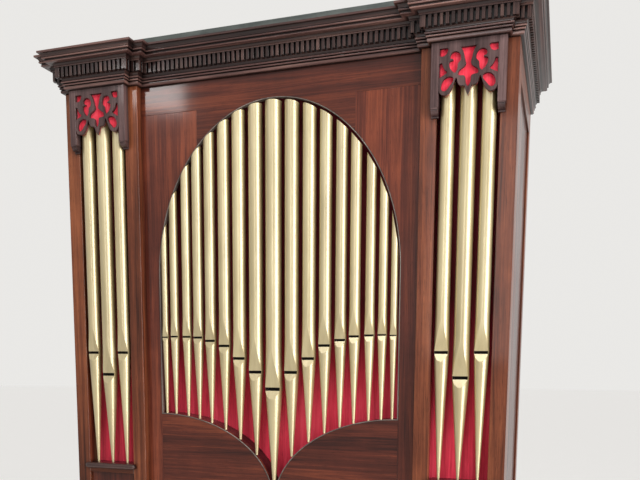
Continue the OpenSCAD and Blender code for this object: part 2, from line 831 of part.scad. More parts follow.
module tower_cloth(side) {
    half = tower_open_width / 2 + box_gap / 4 + box_board;
    color(crimson) in_place() mirrored(side) translate([tower_middle, 0, 0])
        box_from([-half, tower_cloth_y + foot_seat, sill_height - sill_thick - cloth_tuck],
            [half, tower_cloth_y + foot_seat + cloth_thick, case_height - tower_top_rail + box_board]);
}

plinth();
bottom_boards();
lower_centre_frame();
lower_centre_panels();
tower_frame(-1);  // left_tower_frame
tower_frame(1);  // right_tower_frame
tower_panels(-1);  // left_tower_panels
tower_panels(1);  // right_tower_panels
sill(-1);  // left_sill
sill(1);  // right_sill
waist_moulding();
centre_stile(-1);  // centre_left_stile
centre_stile(1);  // centre_right_stile
centre_top_rail();
shoulder(-1);  // left_shoulder
shoulder(1);  // right_shoulder
opening_bead();
pipe_ledge();
pipe_box();
side_frame(-1);  // left_side_frame
side_frame(1);  // right_side_frame
side_panels(-1);  // left_side_panels
side_panels(1);  // right_side_panels
back_frame();
back_panels();
frieze_boards();
architrave();
dentil_course();
crown_moulding();
roof_boards();
top_board();
shade_frame(-1);  // left_shade_frame
shade_frame(1);  // right_shade_frame
shade_fret(-1);  // left_shade_fret
shade_fret(1);  // right_shade_fret
shade_cloth(-1);  // left_shade_cloth
shade_cloth(1);  // right_shade_cloth
centre_pipes();
tower_pipes(-1);  // left_tower_pipes
tower_pipes(1);  // right_tower_pipes
centre_cloth();
tower_cloth(-1);  // left_tower_cloth
tower_cloth(1);  // right_tower_cloth
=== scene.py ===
import math
import random

import bmesh
import bpy
from mathutils import Matrix, Vector, geometry, noise


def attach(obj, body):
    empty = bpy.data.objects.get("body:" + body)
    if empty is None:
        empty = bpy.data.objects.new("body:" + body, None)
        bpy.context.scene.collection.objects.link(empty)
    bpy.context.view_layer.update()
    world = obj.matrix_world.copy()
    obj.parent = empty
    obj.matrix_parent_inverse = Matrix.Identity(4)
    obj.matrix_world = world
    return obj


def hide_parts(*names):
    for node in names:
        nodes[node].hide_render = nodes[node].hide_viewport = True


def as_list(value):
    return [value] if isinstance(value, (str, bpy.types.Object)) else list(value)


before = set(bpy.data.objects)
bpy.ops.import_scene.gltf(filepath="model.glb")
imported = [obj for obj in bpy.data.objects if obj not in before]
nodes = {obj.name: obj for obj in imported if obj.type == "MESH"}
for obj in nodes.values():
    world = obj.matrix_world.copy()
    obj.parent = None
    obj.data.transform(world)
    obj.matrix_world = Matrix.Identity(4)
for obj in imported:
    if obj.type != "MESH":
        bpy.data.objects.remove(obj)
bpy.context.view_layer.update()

# Sizes of the case in millimetres, with depths measured back from the faces of the towers
MM = 0.001
FACE_Y = -364.0  # where those faces stand in the frame
HALF = 950.0  # half the width of the case
DEPTH = 850.0
TOWER = 351.0  # width of one tower front
TOWER_MIDDLE = HALF - TOWER / 2
CENTRE = HALF - TOWER  # half the width of the centre front
TOP = 2902.0  # underside of the cornice
WAIST = 1110.0  # top of the waist rail
PLINTH = 130.0

# Thicknesses
BOARD = 34.0  # tower fronts, which is how far the centre stands back
FRONT_BOARD = 16.0  # boards round the centre opening
SIDE = 26.0
BACK = 22.0
PANEL = 10.0
BOX = 14.0  # boards of the boxes behind the openings

# Members of the frames
STILE = 92.0
RAIL = 104.0
LOWER_STILE = 75.0
LOWER_MUNTIN = 90.0
WAIST_RAIL = 30.0  # above the waist, in the towers
HEAD_RAIL = 40.0
TONGUE = 7.0  # how far a panel runs into its groove

# Openings of the towers
TOWER_OPEN = 114.0  # half the width
SILL = WAIST + 197.0
SILL_SEAT = SILL - 24.3
SILL_FOOT = SILL - 44.0
CHEEK = 121.5  # half the width inside the box
CHEEK_DROP = 40.0
TOWER_CLOTH = BOARD + 39.0

# Opening of the centre
OPENING = 530.0  # half the width
MARGIN = 94.0  # between the top of the arch and the cornice
RISE = 684.0
SPRING = TOP - MARGIN - RISE
SHOULDER = WAIST + 428.0
FALL = 367.0
JOIN = 340.0  # from the middle to the joint between a stile and the top rail
JOIN_ANGLE = math.degrees(math.acos(JOIN / OPENING))
JOINT = TOP - MARGIN - 18.0
LAP = 8.0
OUTER = CENTRE + BOARD - LAP  # how far the centre boards run behind the towers
BEAD_WIDE = 4.0
BEAD_PROUD = 2.0
LEDGE = 75.0  # depth of the box behind the opening
BOX_GAP = 30.0  # between the opening and that box

# Cornice
ARCHITRAVE = 43.0
FASCIA_OUT = 14.0
COURSE = 40.0
COURSE_OUT = 26.0
DENTIL = 12.0
DENTIL_OUT = 12.0
PITCH = 20.9
CROWN_TALL = 55.0
CROWN_OUT = 88.0
CROWN = TOP + ARCHITRAVE + COURSE + CROWN_TALL
ROOF = 18.0

# Pipe shades
SHADE = 268.0
STEP = 34.0  # how far a shade stands forward
STRIP_LENGTH = 222.0
FRET_HALF = SHADE / 2 - 29.0
FRET_BOARD = 12.0
HANG = 188.0

SIDES = ((-1, "left"), (1, "right"))


def linked(name, data):
    """A new object in the scene."""
    ob = bpy.data.objects.new(name, data)
    bpy.context.scene.collection.objects.link(ob)
    return ob


def smoothed(me, angle=35):
    """Rounds the shading of a mesh, apart from the edges that turn by more than the angle."""
    for p in me.polygons:
        p.use_smooth = True
    me.set_sharp_from_angle(angle=math.radians(angle))


def merged(source, me, near, outward=False):
    """Writes a mesh again with the points that lie on each other made one."""
    bm = bmesh.new()
    bm.from_mesh(source)
    bmesh.ops.remove_doubles(bm, verts=bm.verts, dist=near)
    if outward:
        bmesh.ops.recalc_face_normals(bm, faces=bm.faces[:])
    bm.to_mesh(me)
    bm.free()


def grain_shift(seed):
    """Where in the log a board was cut."""
    rnd = random.Random(seed)
    return Vector((rnd.uniform(-9, 9), rnd.uniform(-9, 9), rnd.uniform(-9, 9)))


def along_grain(p, axis):
    """The point turned so that its last measure runs along the grain."""
    if axis == 0:
        return Vector((p.z, p.y, p.x))
    if axis == 1:
        return Vector((p.x, p.z, p.y))
    return p


def write_grain(me, points, tones):
    """Gives each corner of a mesh its place in the grain and its tone."""
    me.attributes.new("grain", "FLOAT_VECTOR", "CORNER")
    me.attributes.new("tone", "FLOAT", "CORNER")
    me.attributes["grain"].data.foreach_set("vector", [c for p in points for c in p])
    me.attributes["tone"].data.foreach_set("value", tones)


class Build:
    """Collects faces, each corner with a place in the grain and a tone."""

    def __init__(self):
        self.verts, self.faces, self.grain, self.tones, self.mats = [], [], [], [], []

    def add(self, verts, faces, axis=2, seed=0, tone=1.0, mat=0, coords=None):
        """axis is the direction of the grain. tone is one number, or one for each point."""
        shift = grain_shift(seed)
        grain = coords or verts
        base = len(self.verts)
        self.verts += [Vector(p) * MM + Vector((0, FACE_Y * MM, 0)) for p in verts]
        for f in faces:
            self.faces.append([base + i for i in f])
            self.tones += [tone[i] for i in f] if isinstance(tone, list) else [tone] * len(f)
            self.mats.append(mat)
            self.grain += [along_grain(Vector(grain[i]) * MM, axis) + shift for i in f]

    def make(self, name, materials):
        me = bpy.data.meshes.new(name)
        me.from_pydata([tuple(p) for p in self.verts], [], self.faces)
        me.update()
        write_grain(me, self.grain, self.tones)
        for m in materials:
            me.materials.append(m)
        for poly, m in zip(me.polygons, self.mats):
            poly.material_index = m
        return linked(name, me)


def chamfered(lo, hi, c=1.0):
    """A board with its edges taken off: 24 points."""
    c = min(c, *[(hi[i] - lo[i]) * 0.4 for i in range(3)])
    verts, index = [], {}
    for sx in (0, 1):
        for sy in (0, 1):
            for sz in (0, 1):
                s = (sx, sy, sz)
                for k in range(3):
                    p = [hi[i] if s[i] else lo[i] for i in range(3)]
                    for i in range(3):
                        if i != k:
                            p[i] += -c if s[i] else c
                    index[(s, k)] = len(verts)
                    verts.append(p)
    faces = []
    for k in range(3):
        a, b = [(1, 2), (2, 0), (0, 1)][k]
        for side in (0, 1):
            loop = []
            for u, w in ((0, 0), (1, 0), (1, 1), (0, 1)):
                s = [0, 0, 0]
                s[k], s[a], s[b] = side, u, w
                loop.append(index[(tuple(s), k)])
            faces.append(loop if side else loop[::-1])
        for u in (0, 1):
            for w in (0, 1):
                s0, s1 = [0, 0, 0], [0, 0, 0]
                s0[k], s1[k] = 0, 1
                s0[a] = s1[a] = u
                s0[b] = s1[b] = w
                s0, s1 = tuple(s0), tuple(s1)
                q = [index[(s0, a)], index[(s1, a)], index[(s1, b)], index[(s0, b)]]
                faces.append(q if u != w else q[::-1])
    for sx in (0, 1):
        for sy in (0, 1):
            for sz in (0, 1):
                s = (sx, sy, sz)
                t = [index[(s, 0)], index[(s, 1)], index[(s, 2)]]
                faces.append(t if (sx + sy + sz) % 2 else t[::-1])
    return verts, faces


def board(b, lo, hi, axis, seed, tone=1.0, c=1.0, mat=0, place=None):
    """A board between two corners, put in its place by a function where one is given."""
    verts, faces = chamfered(lo, hi, c)
    shown = [place(p) for p in verts] if place else verts
    b.add(shown, faces, axis, seed, tone, mat, coords=verts)


def finish(ob, node=None, slot=None):
    """Fixes a piece to the case and hides the node that it stands in for. slot is not used."""
    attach(ob, "root")
    if node:
        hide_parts(node)
    return ob


def kept_form(node, material, axis, seed, tone, slot):
    """A CAD node's own form, with grain laid along an axis."""
    me = bpy.data.meshes.new(node + "_wood")
    merged(nodes[node].data, me, 1e-6)
    me.materials.clear()
    me.materials.append(material)
    for p in me.polygons:
        p.material_index = 0
    smoothed(me)
    shift = grain_shift(seed)
    points = [along_grain(me.vertices[loop.vertex_index].co, axis) + shift for loop in me.loops]
    write_grain(me, points, [tone] * len(points))
    return finish(linked(node + "_wood", me), node, slot)


# The face line of the case in plan, as [x, y], from the back left round the front to the back right
LEFT = [
    (-HALF, DEPTH), (-HALF, 0), (-TOWER_MIDDLE - SHADE / 2, 0), (-TOWER_MIDDLE - SHADE / 2, -STEP),
    (-TOWER_MIDDLE + SHADE / 2, -STEP), (-TOWER_MIDDLE + SHADE / 2, 0), (-CENTRE, 0), (-CENTRE, BOARD),
]
FACE = LEFT + [(-x, y) for x, y in reversed(LEFT)]
PLAIN = [FACE[i] for i in (0, 1, 6, 7, 8, 9, 14, 15)]


def run(line, i):
    dx, dy = line[i + 1][0] - line[i][0], line[i + 1][1] - line[i][1]
    k = math.hypot(dx, dy)
    return dx / k, dy / k


def corner(line, i, reach):
    x, y = line[i]
    for j in (i - 1, i):
        if 0 <= j < len(line) - 1:
            dx, dy = run(line, j)
            x, y = x + dy * reach, y - dx * reach
    return x, y


def eased(profile, r):
    """The closed outline with its outward corners taken off."""
    out = []
    n = len(profile)
    for i, p in enumerate(profile):
        q, s = profile[i - 1], profile[(i + 1) % n]
        u = (p[0] - q[0], p[1] - q[1])
        w = (s[0] - p[0], s[1] - p[1])
        lu, lw = math.hypot(*u), math.hypot(*w)
        turn = math.degrees(math.atan2(u[0] * w[1] - u[1] * w[0], u[0] * w[0] + u[1] * w[1]))
        if turn > 40 and p[0] > 0.5:
            k = min(r, lu * 0.35, lw * 0.35)
            out.append((p[0] - u[0] / lu * k, p[1] - u[1] / lu * k))
            out.append((p[0] + w[0] / lw * k, p[1] + w[1] / lw * k))
        else:
            out.append(p)
    return out


def reach_at(profile, z):
    """How far the closed outline stands out at a height."""
    reach = 0.0
    for p, q in zip(profile, profile[1:] + profile[:1]):
        if min(p[1], q[1]) <= z < max(p[1], q[1]):
            reach = max(reach, p[0] + (q[0] - p[0]) * (z - p[1]) / (q[1] - p[1]))
    return reach


NEAR = 6
# How strongly the painted highlight on crests and the painted shade in hollows change the tone of a moulding
CREST_HIGHLIGHT, HOLLOW_SHADE = 0.75, 0.25
DARKEST, PALEST = 0.4, 2.4


def crest_highlight_hollow_shade(profile):
    """A tone for each point of an outline: a painted highlight, pale where it stands out, and painted shade,
    dark in the hollows.
    """
    low = min(p[1] for p in profile)
    high = max(p[1] for p in profile)
    out = []
    for x, z in profile:
        heights = [min(high - 0.01, max(low, z + step)) for step in range(-NEAR, NEAR + 1)]
        stands = x - sum(reach_at(profile, h) for h in heights) / len(heights)
        tone = 1.0 + stands * (CREST_HIGHLIGHT if stands > 0 else HOLLOW_SHADE)
        out.append(max(DARKEST, min(PALEST, tone)))
    return out


GRAIN_GAP = 500


def sweep(b, line, profile, z0, seed, tone=1.0):
    """A moulding round the case, mitred at each corner. The outline runs upwards on its outer side."""
    n = len(profile)
    # Tones with a painted highlight on the crests and painted shade in the hollows of the profile
    tones = crest_highlight_hollow_shade(profile)
    along = 0.0
    for i in range(len(line) - 1):
        verts = [(*corner(line, j, p[0]), z0 + p[1]) for j in (i, i + 1) for p in profile]
        length = math.hypot(line[i + 1][0] - line[i][0], line[i + 1][1] - line[i][1])
        coords = [(p[0], p[1], at) for at in (along, along + length) for p in profile]
        faces = [[k, n + k, n + (k + 1) % n, (k + 1) % n] for k in range(n)]
        if i == 0:
            faces.append(list(range(n)))
        if i == len(line) - 2:
            faces.append([n + k for k in range(n)][::-1])
        shade = tone * (1 + 0.05 * math.sin(seed + i * 2.3))
        b.add(verts, faces, 2, seed + i, [shade * t for t in tones + tones], coords=coords)
        along += length + GRAIN_GAP


def joined(ob, smooth=35):
    """Makes one skin of the parts of a piece, with its faces outward."""
    merged(ob.data, ob.data, 2e-6, outward=True)
    smoothed(ob.data, smooth)
    return ob


def signed_area(loop):
    return sum(p[0] * q[1] - q[0] * p[1] for p, q in zip(loop, loop[1:] + loop[:1])) / 2


def inset(loop, far):
    """The closed loop moved to its left by a distance, with the corners limited."""
    out = []
    for i, p in enumerate(loop):
        q, s = loop[i - 1], loop[(i + 1) % len(loop)]
        u = Vector((p[0] - q[0], p[1] - q[1])).normalized()
        w = Vector((s[0] - p[0], s[1] - p[1])).normalized()
        n = Vector((-u.y - w.y, u.x + w.x))
        k = n.length
        n = n / k * min(1.6, 2 / max(k, 0.5)) if k > 1e-6 else Vector((-u.y, u.x))
        out.append((p[0] + n.x * far, p[1] + n.y * far))
    return out


def inside(p, loop):
    hit = False
    for a, b in zip(loop, loop[1:] + loop[:1]):
        if (a[1] > p[1]) != (b[1] > p[1]):
            hit ^= p[0] < (b[0] - a[0]) * (p[1] - a[1]) / (b[1] - a[1]) + a[0]
    return hit


def filled(loops):
    """Triangles that fill the first loop and leave the others open, as indices into all their points."""
    points = [Vector(p) for loop in loops for p in loop]
    edges, base = [], 0
    for loop in loops:
        n = len(loop)
        edges += [(base + i, base + (i + 1) % n) for i in range(n)]
        base += n
    verts, _, faces, source, _, _ = geometry.delaunay_2d_cdt(points, edges, [], 1, 1e-5)
    out = []
    for f in faces:
        mid = sum((verts[i] for i in f), Vector((0, 0))) / len(f)
        if inside(mid, loops[0]) and not any(inside(mid, h) for h in loops[1:]):
            out.append([source[i][0] for i in f])
    return out


EASE_STEPS = 3


def cut_out(name, outer, place, thick, ease, material, axis, seed, tone=1.0, holes=()):
    """A board sawn to an outline, with holes, and its front edges rounded.

    place turns u, v and the depth into x, y and z.
    """
    loops = []
    for i, loop in enumerate([outer, *holes]):
        loops.append(loop if (signed_area(loop) > 0) == (i == 0) else loop[::-1])
    turns = [math.pi / 2 * k / EASE_STEPS for k in range(EASE_STEPS + 1)]
    rings = [(ease * (1 - math.sin(a)), ease * (1 - math.cos(a))) for a in turns] + [(0.0, thick)]
    counts = [len(loop) for loop in loops]
    total = sum(counts)
    verts, coords = [], []
    for far, deep in rings:
        for loop in loops:
            for u, v in inset(loop, far):
                verts.append(place(u, v, deep))
                coords.append((u, deep, v))
    flat = filled([inset(loop, ease) for loop in loops])
    behind = (len(rings) - 1) * total
    flat += [[behind + i for i in reversed(f)] for f in filled(loops)]
    walls = []
    for r in range(len(rings) - 1):
        base = 0
        for n in counts:
            for i in range(n):
                a, c = base + i, base + (i + 1) % n
                walls.append([r * total + c, r * total + a, (r + 1) * total + a, (r + 1) * total + c])
            base += n
    b = Build()
    b.add(verts, flat + walls, axis, seed, tone, coords=coords)
    ob = joined(b.make(name, [material]), 40)
    for i, p in enumerate(ob.data.polygons):
        p.use_smooth = i >= len(flat)
    return ob


def ellipse(cx, cz, a, c, t0, t1, n):
    """Points round a centre, from one angle to another in n steps."""
    turns = [math.radians(t0 + (t1 - t0) * i / n) for i in range(n + 1)]
    return [(cx + a * math.cos(t), cz + c * math.sin(t)) for t in turns]


def arch(inward, t0, t1, n):
    """The arch of the centre opening, or a line inside it."""
    return ellipse(0, SPRING, OPENING - inward, RISE - inward, t0, t1, n)


def shoulder(gap, inward, t0, t1, n):
    """The top of a shoulder board, or a line under it, with a gap at the middle of the case."""
    return ellipse(OPENING, SHOULDER - FALL, OPENING - gap, FALL - inward, t0, t1, n)


def bend(p, q, r, t, n=8):
    """A curve from the first point to the last, drawn towards the two between them."""
    out = []
    for i in range(n + 1):
        k = i / n
        u = 1 - k
        w = (u * u * u, 3 * u * u * k, 3 * u * k * k, k * k * k)
        out.append(tuple(w[0] * p[j] + w[1] * q[j] + w[2] * r[j] + w[3] * t[j] for j in (0, 1)))
    return out


SAME = 0.05


def tidy(points):
    """The closed outline without points that fall on the one before."""
    out = []
    for p in points:
        if not out or math.hypot(p[0] - out[-1][0], p[1] - out[-1][1]) > SAME:
            out.append(p)
    if math.hypot(out[0][0] - out[-1][0], out[0][1] - out[-1][1]) < SAME:
        out.pop()
    return out


class Tree:
    """Short ways to add nodes to a node tree."""

    def __init__(self, tree):
        self.t = tree
        self.t.nodes.clear()

    def new(self, kind, **props):
        n = self.t.nodes.new("ShaderNode" + kind)
        for k, v in props.items():
            setattr(n, k, v)
        return n

    def put(self, value, socket):
        if isinstance(value, bpy.types.NodeSocket):
            self.t.links.new(value, socket)
        else:
            socket.default_value = value

    def math(self, op, a, b=0.0):
        n = self.new("Math", operation=op)
        self.put(a, n.inputs[0])
        self.put(b, n.inputs[1])
        return n.outputs[0]

    def blend(self, *parts):
        """The sum of values, each times its weight."""
        total = None
        for value, weight in parts:
            part = self.math("MULTIPLY", value, weight)
            total = part if total is None else self.math("ADD", total, part)
        return total

    def noise(self, vec, scale, detail=4.0, rough=0.5, distortion=0.0):
        n = self.new("TexNoise")
        self.put(vec, n.inputs["Vector"])
        settings = {"Scale": scale, "Detail": detail, "Roughness": rough, "Distortion": distortion}
        for key, x in settings.items():
            n.inputs[key].default_value = x
        return n.outputs["Fac"]

    def drawn(self, vec, scale, detail=4.0, rough=0.6, distortion=0.0):
        """Noise with a scale of its own along each axis."""
        n = self.new("Mapping")
        self.put(vec, n.inputs["Vector"])
        n.inputs["Scale"].default_value = scale
        return self.noise(n.outputs[0], 1.0, detail, rough, distortion)

    def ramp(self, fac, stops):
        n = self.new("ValToRGB")
        self.put(fac, n.inputs[0])
        e = n.color_ramp.elements
        while len(e) < len(stops):
            e.new(0.5)
        for el, (pos, col) in zip(e, stops):
            el.position = pos
            el.color = (*col, 1)
        return n.outputs[0]

    def fit(self, value, a, b, c, d):
        """The value moved from the range a to b into the range c to d."""
        n = self.new("MapRange")
        self.put(value, n.inputs["Value"])
        for key, x in (("From Min", a), ("From Max", b), ("To Min", c), ("To Max", d)):
            n.inputs[key].default_value = x
        return n.outputs[0]

    def mix(self, fac, a, b, blend="MIX"):
        n = self.new("Mix", data_type="RGBA", blend_type=blend)
        for i, value in ((0, fac), (6, a), (7, b)):
            self.put(value, n.inputs[i])
        return n.outputs[2]

    def toned(self, colour, tone, most):
        """The colour times a tone, which runs from 0 to the most that it can be."""
        shade = self.ramp(self.math("MULTIPLY", tone, 1 / most), [(0.0, (0, 0, 0)), (1.0, (most, most, most))])
        return self.mix(1.0, colour, shade, "MULTIPLY")

    def painted_shade_share(self, reach, samples, shut, clear, most):
        """The share of painted shade: most where the surface is shut in, none where it is clear."""
        n = self.new("AmbientOcclusion", samples=samples)
        n.inputs["Distance"].default_value = reach
        return self.fit(n.outputs["AO"], shut, clear, most, 0.0)

    def bump(self, height, distance, strength):
        n = self.new("Bump")
        n.inputs["Strength"].default_value = strength
        n.inputs["Distance"].default_value = distance
        self.put(height, n.inputs["Height"])
        return n.outputs[0]


class Paint(Tree):
    """A material with one surface shader."""

    def __init__(self, name):
        self.m = bpy.data.materials.new(name)
        self.m.use_nodes = True
        super().__init__(self.m.node_tree)
        self.p = self.new("BsdfPrincipled")
        self.put(self.p.outputs[0], self.new("OutputMaterial").inputs[0])

    def set(self, **values):
        for key, v in values.items():
            self.put(v, self.p.inputs[key.replace("_", " ")])


def rgb(r, g, b):
    """From the picture's 0-255 values to linear light."""
    return tuple(((c / 255) / 12.92 if c <= 10 else ((c / 255 + 0.055) / 1.055) ** 2.4) for c in (r, g, b))


def dimmed(colour, share):
    return tuple(x * share for x in colour) + (1,)


WIDE, BANDS, FINE = 0.42, 0.40, 0.22
CONTRAST = 0.13


def wood(name, dark, mid, light, coat, rough, corner_shade):
    """Polished wood: figure, bands, fibres and pores along the grain, and painted shade in the corners."""
    dark, mid, light = rgb(*dark), rgb(*mid), rgb(*light)
    n = Paint(name)
    vec = n.new("Attribute", attribute_name="grain").outputs["Vector"]
    tone = n.new("Attribute", attribute_name="tone").outputs["Fac"]
    wide = n.drawn(vec, (5.0, 5.0, 0.55), 3.0, 0.55, 0.6)
    bands = n.drawn(vec, (26.0, 26.0, 0.9), 4.0, 0.6, 1.1)
    fine = n.drawn(vec, (190.0, 190.0, 3.2), 3.0, 0.6, 0.2)
    pore = n.drawn(vec, (900.0, 900.0, 26.0), 2.0, 0.5)
    cross = n.drawn(vec, (7.0, 7.0, 9.0), 3.0, 0.5, 0.3)
    smear = n.drawn(vec, (3.0, 3.0, 2.0), 4.0, 0.6, 0.4)
    planed = n.drawn(vec, (24.0, 24.0, 8.0), 3.0, 0.5, 0.2)
    middle = (WIDE + BANDS + FINE) / 2
    figure = n.blend((wide, WIDE), (bands, BANDS), (fine, FINE))
    figure = n.fit(figure, middle - CONTRAST, middle + CONTRAST, 0.0, 1.0)
    colour = n.ramp(figure, [(0.0, dark), (0.5, mid), (1.0, light)])
    shimmer = n.fit(cross, 0.35, 0.65, 0.90, 1.10)
    # tone holds each board's own shade of colour and, on mouldings, the painted highlight on crests and
    # painted shade in hollows
    colour = n.toned(colour, n.math("MULTIPLY", shimmer, tone), 2.5)
    holes = n.fit(pore, 0.60, 0.72, 0.0, 0.75)
    colour = n.mix(holes, colour, dimmed(dark, 0.35))
    # Painted shade: the wood is darkened in corners and recesses
    colour = n.mix(n.painted_shade_share(0.022, 6, 0.3, 1.0, corner_shade), colour, dimmed(dark, 0.22))
    n.set(Base_Color=colour, Metallic=0.0, Specular_IOR_Level=0.12)
    n.set(Roughness=n.fit(smear, 0.3, 0.7, rough - 0.07, rough + 0.12))
    n.set(Coat_Weight=coat, Coat_Roughness=0.09)
    height = n.math("SUBTRACT", n.blend((fine, 0.3), (planed, 2.6)), holes)
    n.set(Normal=n.bump(height, 0.00035, 0.5))
    return n.m


# The last number of each wood sets how much painted shade darkens its corners
MAHOGANY = wood("mahogany", (48, 22, 14), (112, 59, 38), (154, 90, 58), coat=0.26, rough=0.38, corner_shade=0.6)
RED = wood("red_mahogany", (36, 14, 11), (82, 37, 26), (124, 62, 40), coat=0.34, rough=0.36, corner_shade=0.55)
DARK = wood("dark_mahogany", (26, 16, 15), (60, 40, 37), (102, 76, 69), coat=0.5, rough=0.34, corner_shade=0.97)
FRET = wood("fret_wood", (46, 32, 31), (86, 65, 64), (124, 98, 96), coat=0.25, rough=0.42, corner_shade=0.6)
BEAD = wood("bead_wood", (70, 62, 58), (112, 102, 96), (150, 140, 132), coat=0.4, rough=0.36, corner_shade=0.2)
INSIDE = wood("inside_wood", (52, 34, 22), (88, 62, 42), (120, 90, 62), coat=0.0, rough=0.65, corner_shade=0.3)


def gilt():
    """Old gold leaf under size: streaks along the pipe, clouds, and painted shade in brown where the pipes and
    corners close in on it.
    """
    n = Paint("gilt")
    vec = n.new("Attribute", attribute_name="grain").outputs["Vector"]
    tone = n.new("Attribute", attribute_name="tone").outputs["Fac"]
    streak = n.drawn(vec, (46.0, 46.0, 1.4), distortion=0.2)
    cloud = n.drawn(vec, (9.0, 9.0, 3.0), 5.0, distortion=0.3)
    fine = n.drawn(vec, (700.0, 700.0, 120.0), 2.0, 0.5)
    share = n.fit(n.blend((streak, 0.45), (cloud, 0.55)), 0.36, 0.64, 0.0, 1.0)
    colour = n.ramp(share, [(0.0, rgb(168, 150, 100)), (0.5, rgb(187, 169, 120)), (1.0, rgb(201, 186, 138))])
    colour = n.toned(colour, tone, 2.0)
    # Painted shade: brown where neighbouring pipes and corners shut the gilt in
    colour = n.mix(n.painted_shade_share(0.03, 8, 0.15, 0.75, 0.8), colour, dimmed(rgb(84, 54, 28), 1))
    n.set(Base_Color=colour, Metallic=0.5, Specular_IOR_Level=0.6)
    n.set(Roughness=n.fit(cloud, 0.3, 0.7, 0.34, 0.40))
    n.set(Coat_Weight=1.0, Coat_Roughness=0.34, Coat_IOR=1.9)
    n.set(Normal=n.bump(n.blend((fine, 0.5), (streak, 0.5)), 0.0002, 0.12))
    return n.m


def mouth_shadow():
    """Painted shade for the inside of a pipe, flecked with dust."""
    n = Paint("mouth_shadow")
    dust = n.noise(n.new("TexCoord").outputs["Object"], 180.0, 4.0, 0.6)
    n.set(Base_Color=n.ramp(dust, [(0.3, rgb(14, 10, 8)), (0.8, rgb(34, 26, 18))]), Roughness=0.8)
    return n.m


THREADS = 260.0
# Heights in metres over which painted shade darkens the cloth behind the pipes
UPPER_SHADE_FROM, UPPER_SHADE_TO = 1.72, 2.0


def cloth(name, deep, mid, light, upper_shade=0.0):
    """A plain weave, faded in clouds, and, where asked, darkened high up behind the pipes by painted shade."""
    n = Paint(name)
    pos = n.new("TexCoord").outputs["Object"]
    threads = []
    for way in "XZ":
        wave = n.new("TexWave", wave_type="BANDS", bands_direction=way)
        n.put(pos, wave.inputs["Vector"])
        wave.inputs["Scale"].default_value = THREADS
        threads.append(wave.outputs["Fac"])
    weave = n.math("MULTIPLY", *threads)
    slub = n.drawn(pos, (160.0, 160.0, 5.0))
    fade = n.drawn(pos, (5.0, 5.0, 2.0))
    share = n.fit(n.blend((slub, 0.5), (fade, 0.5)), 0.35, 0.65, 0.0, 1.0)
    colour = n.ramp(share, [(0.0, rgb(*deep)), (0.5, rgb(*mid)), (1.0, rgb(*light))])
    if upper_shade:
        # Painted shade: the cloth darkens towards its top, behind the pipes
        height = n.new("SeparateXYZ")
        n.put(pos, height.inputs[0])
        dark = n.fit(height.outputs["Z"], UPPER_SHADE_FROM, UPPER_SHADE_TO, 0.0, upper_shade)
        colour = n.mix(dark, colour, dimmed(rgb(48, 12, 10), 1))
    n.set(Base_Color=colour, Roughness=0.75, Specular_IOR_Level=0.3)
    n.set(Sheen_Weight=0.3, Sheen_Roughness=0.5)
    n.set(Normal=n.bump(n.blend((weave, 0.6), (slub, 1.0)), 0.0003, 0.5))
    return n.m


# The crimson cloth carries painted shade high up behind the pipes
CRIMSON = cloth("crimson_cloth", (204, 38, 62), (238, 58, 84), (250, 88, 110), upper_shade=0.75)
BRIGHT = cloth("bright_cloth", (206, 24, 48), (242, 42, 68), (252, 80, 100))
GILT = gilt()
SHADOW = mouth_shadow()


def grey_paint():
    """Brushed grey-blue paint, drawn along the board."""
    n = Paint("grey_board")
    pos = n.new("TexCoord").outputs["Object"]
    brush = n.drawn(pos, (3.0, 60.0, 60.0))
    cloud = n.noise(pos, 14.0, 4.0, 0.6)
    share = n.fit(n.blend((brush, 0.5), (cloud, 0.5)), 0.35, 0.65, 0, 1)
    n.set(Base_Color=n.ramp(share, [(0.0, rgb(58, 64, 62)), (1.0, rgb(96, 102, 98))]))
    n.set(Roughness=0.7, Normal=n.bump(brush, 0.0006, 0.5))
    return n.m


GREY = grey_paint()


def panel(b, opening, y, thick, seed, tone=1.0, place=None):
    """A flat panel let into the grooves round an opening."""
    x0, z0, x1, z1 = opening
    front = y + (thick - PANEL) / 2
    low, high = (x0 - TONGUE, front, z0 - TONGUE), (x1 + TONGUE, front + PANEL, z1 + TONGUE)
    board(b, low, high, 2, seed, tone, 0.5, 0, place)


def at_side(side):
    """Turns the places of a frame that faces forward into those of a side."""
    def place(p):
        x, y, z = p
        return (side * (HALF - y), BOARD + x, z)

    return place


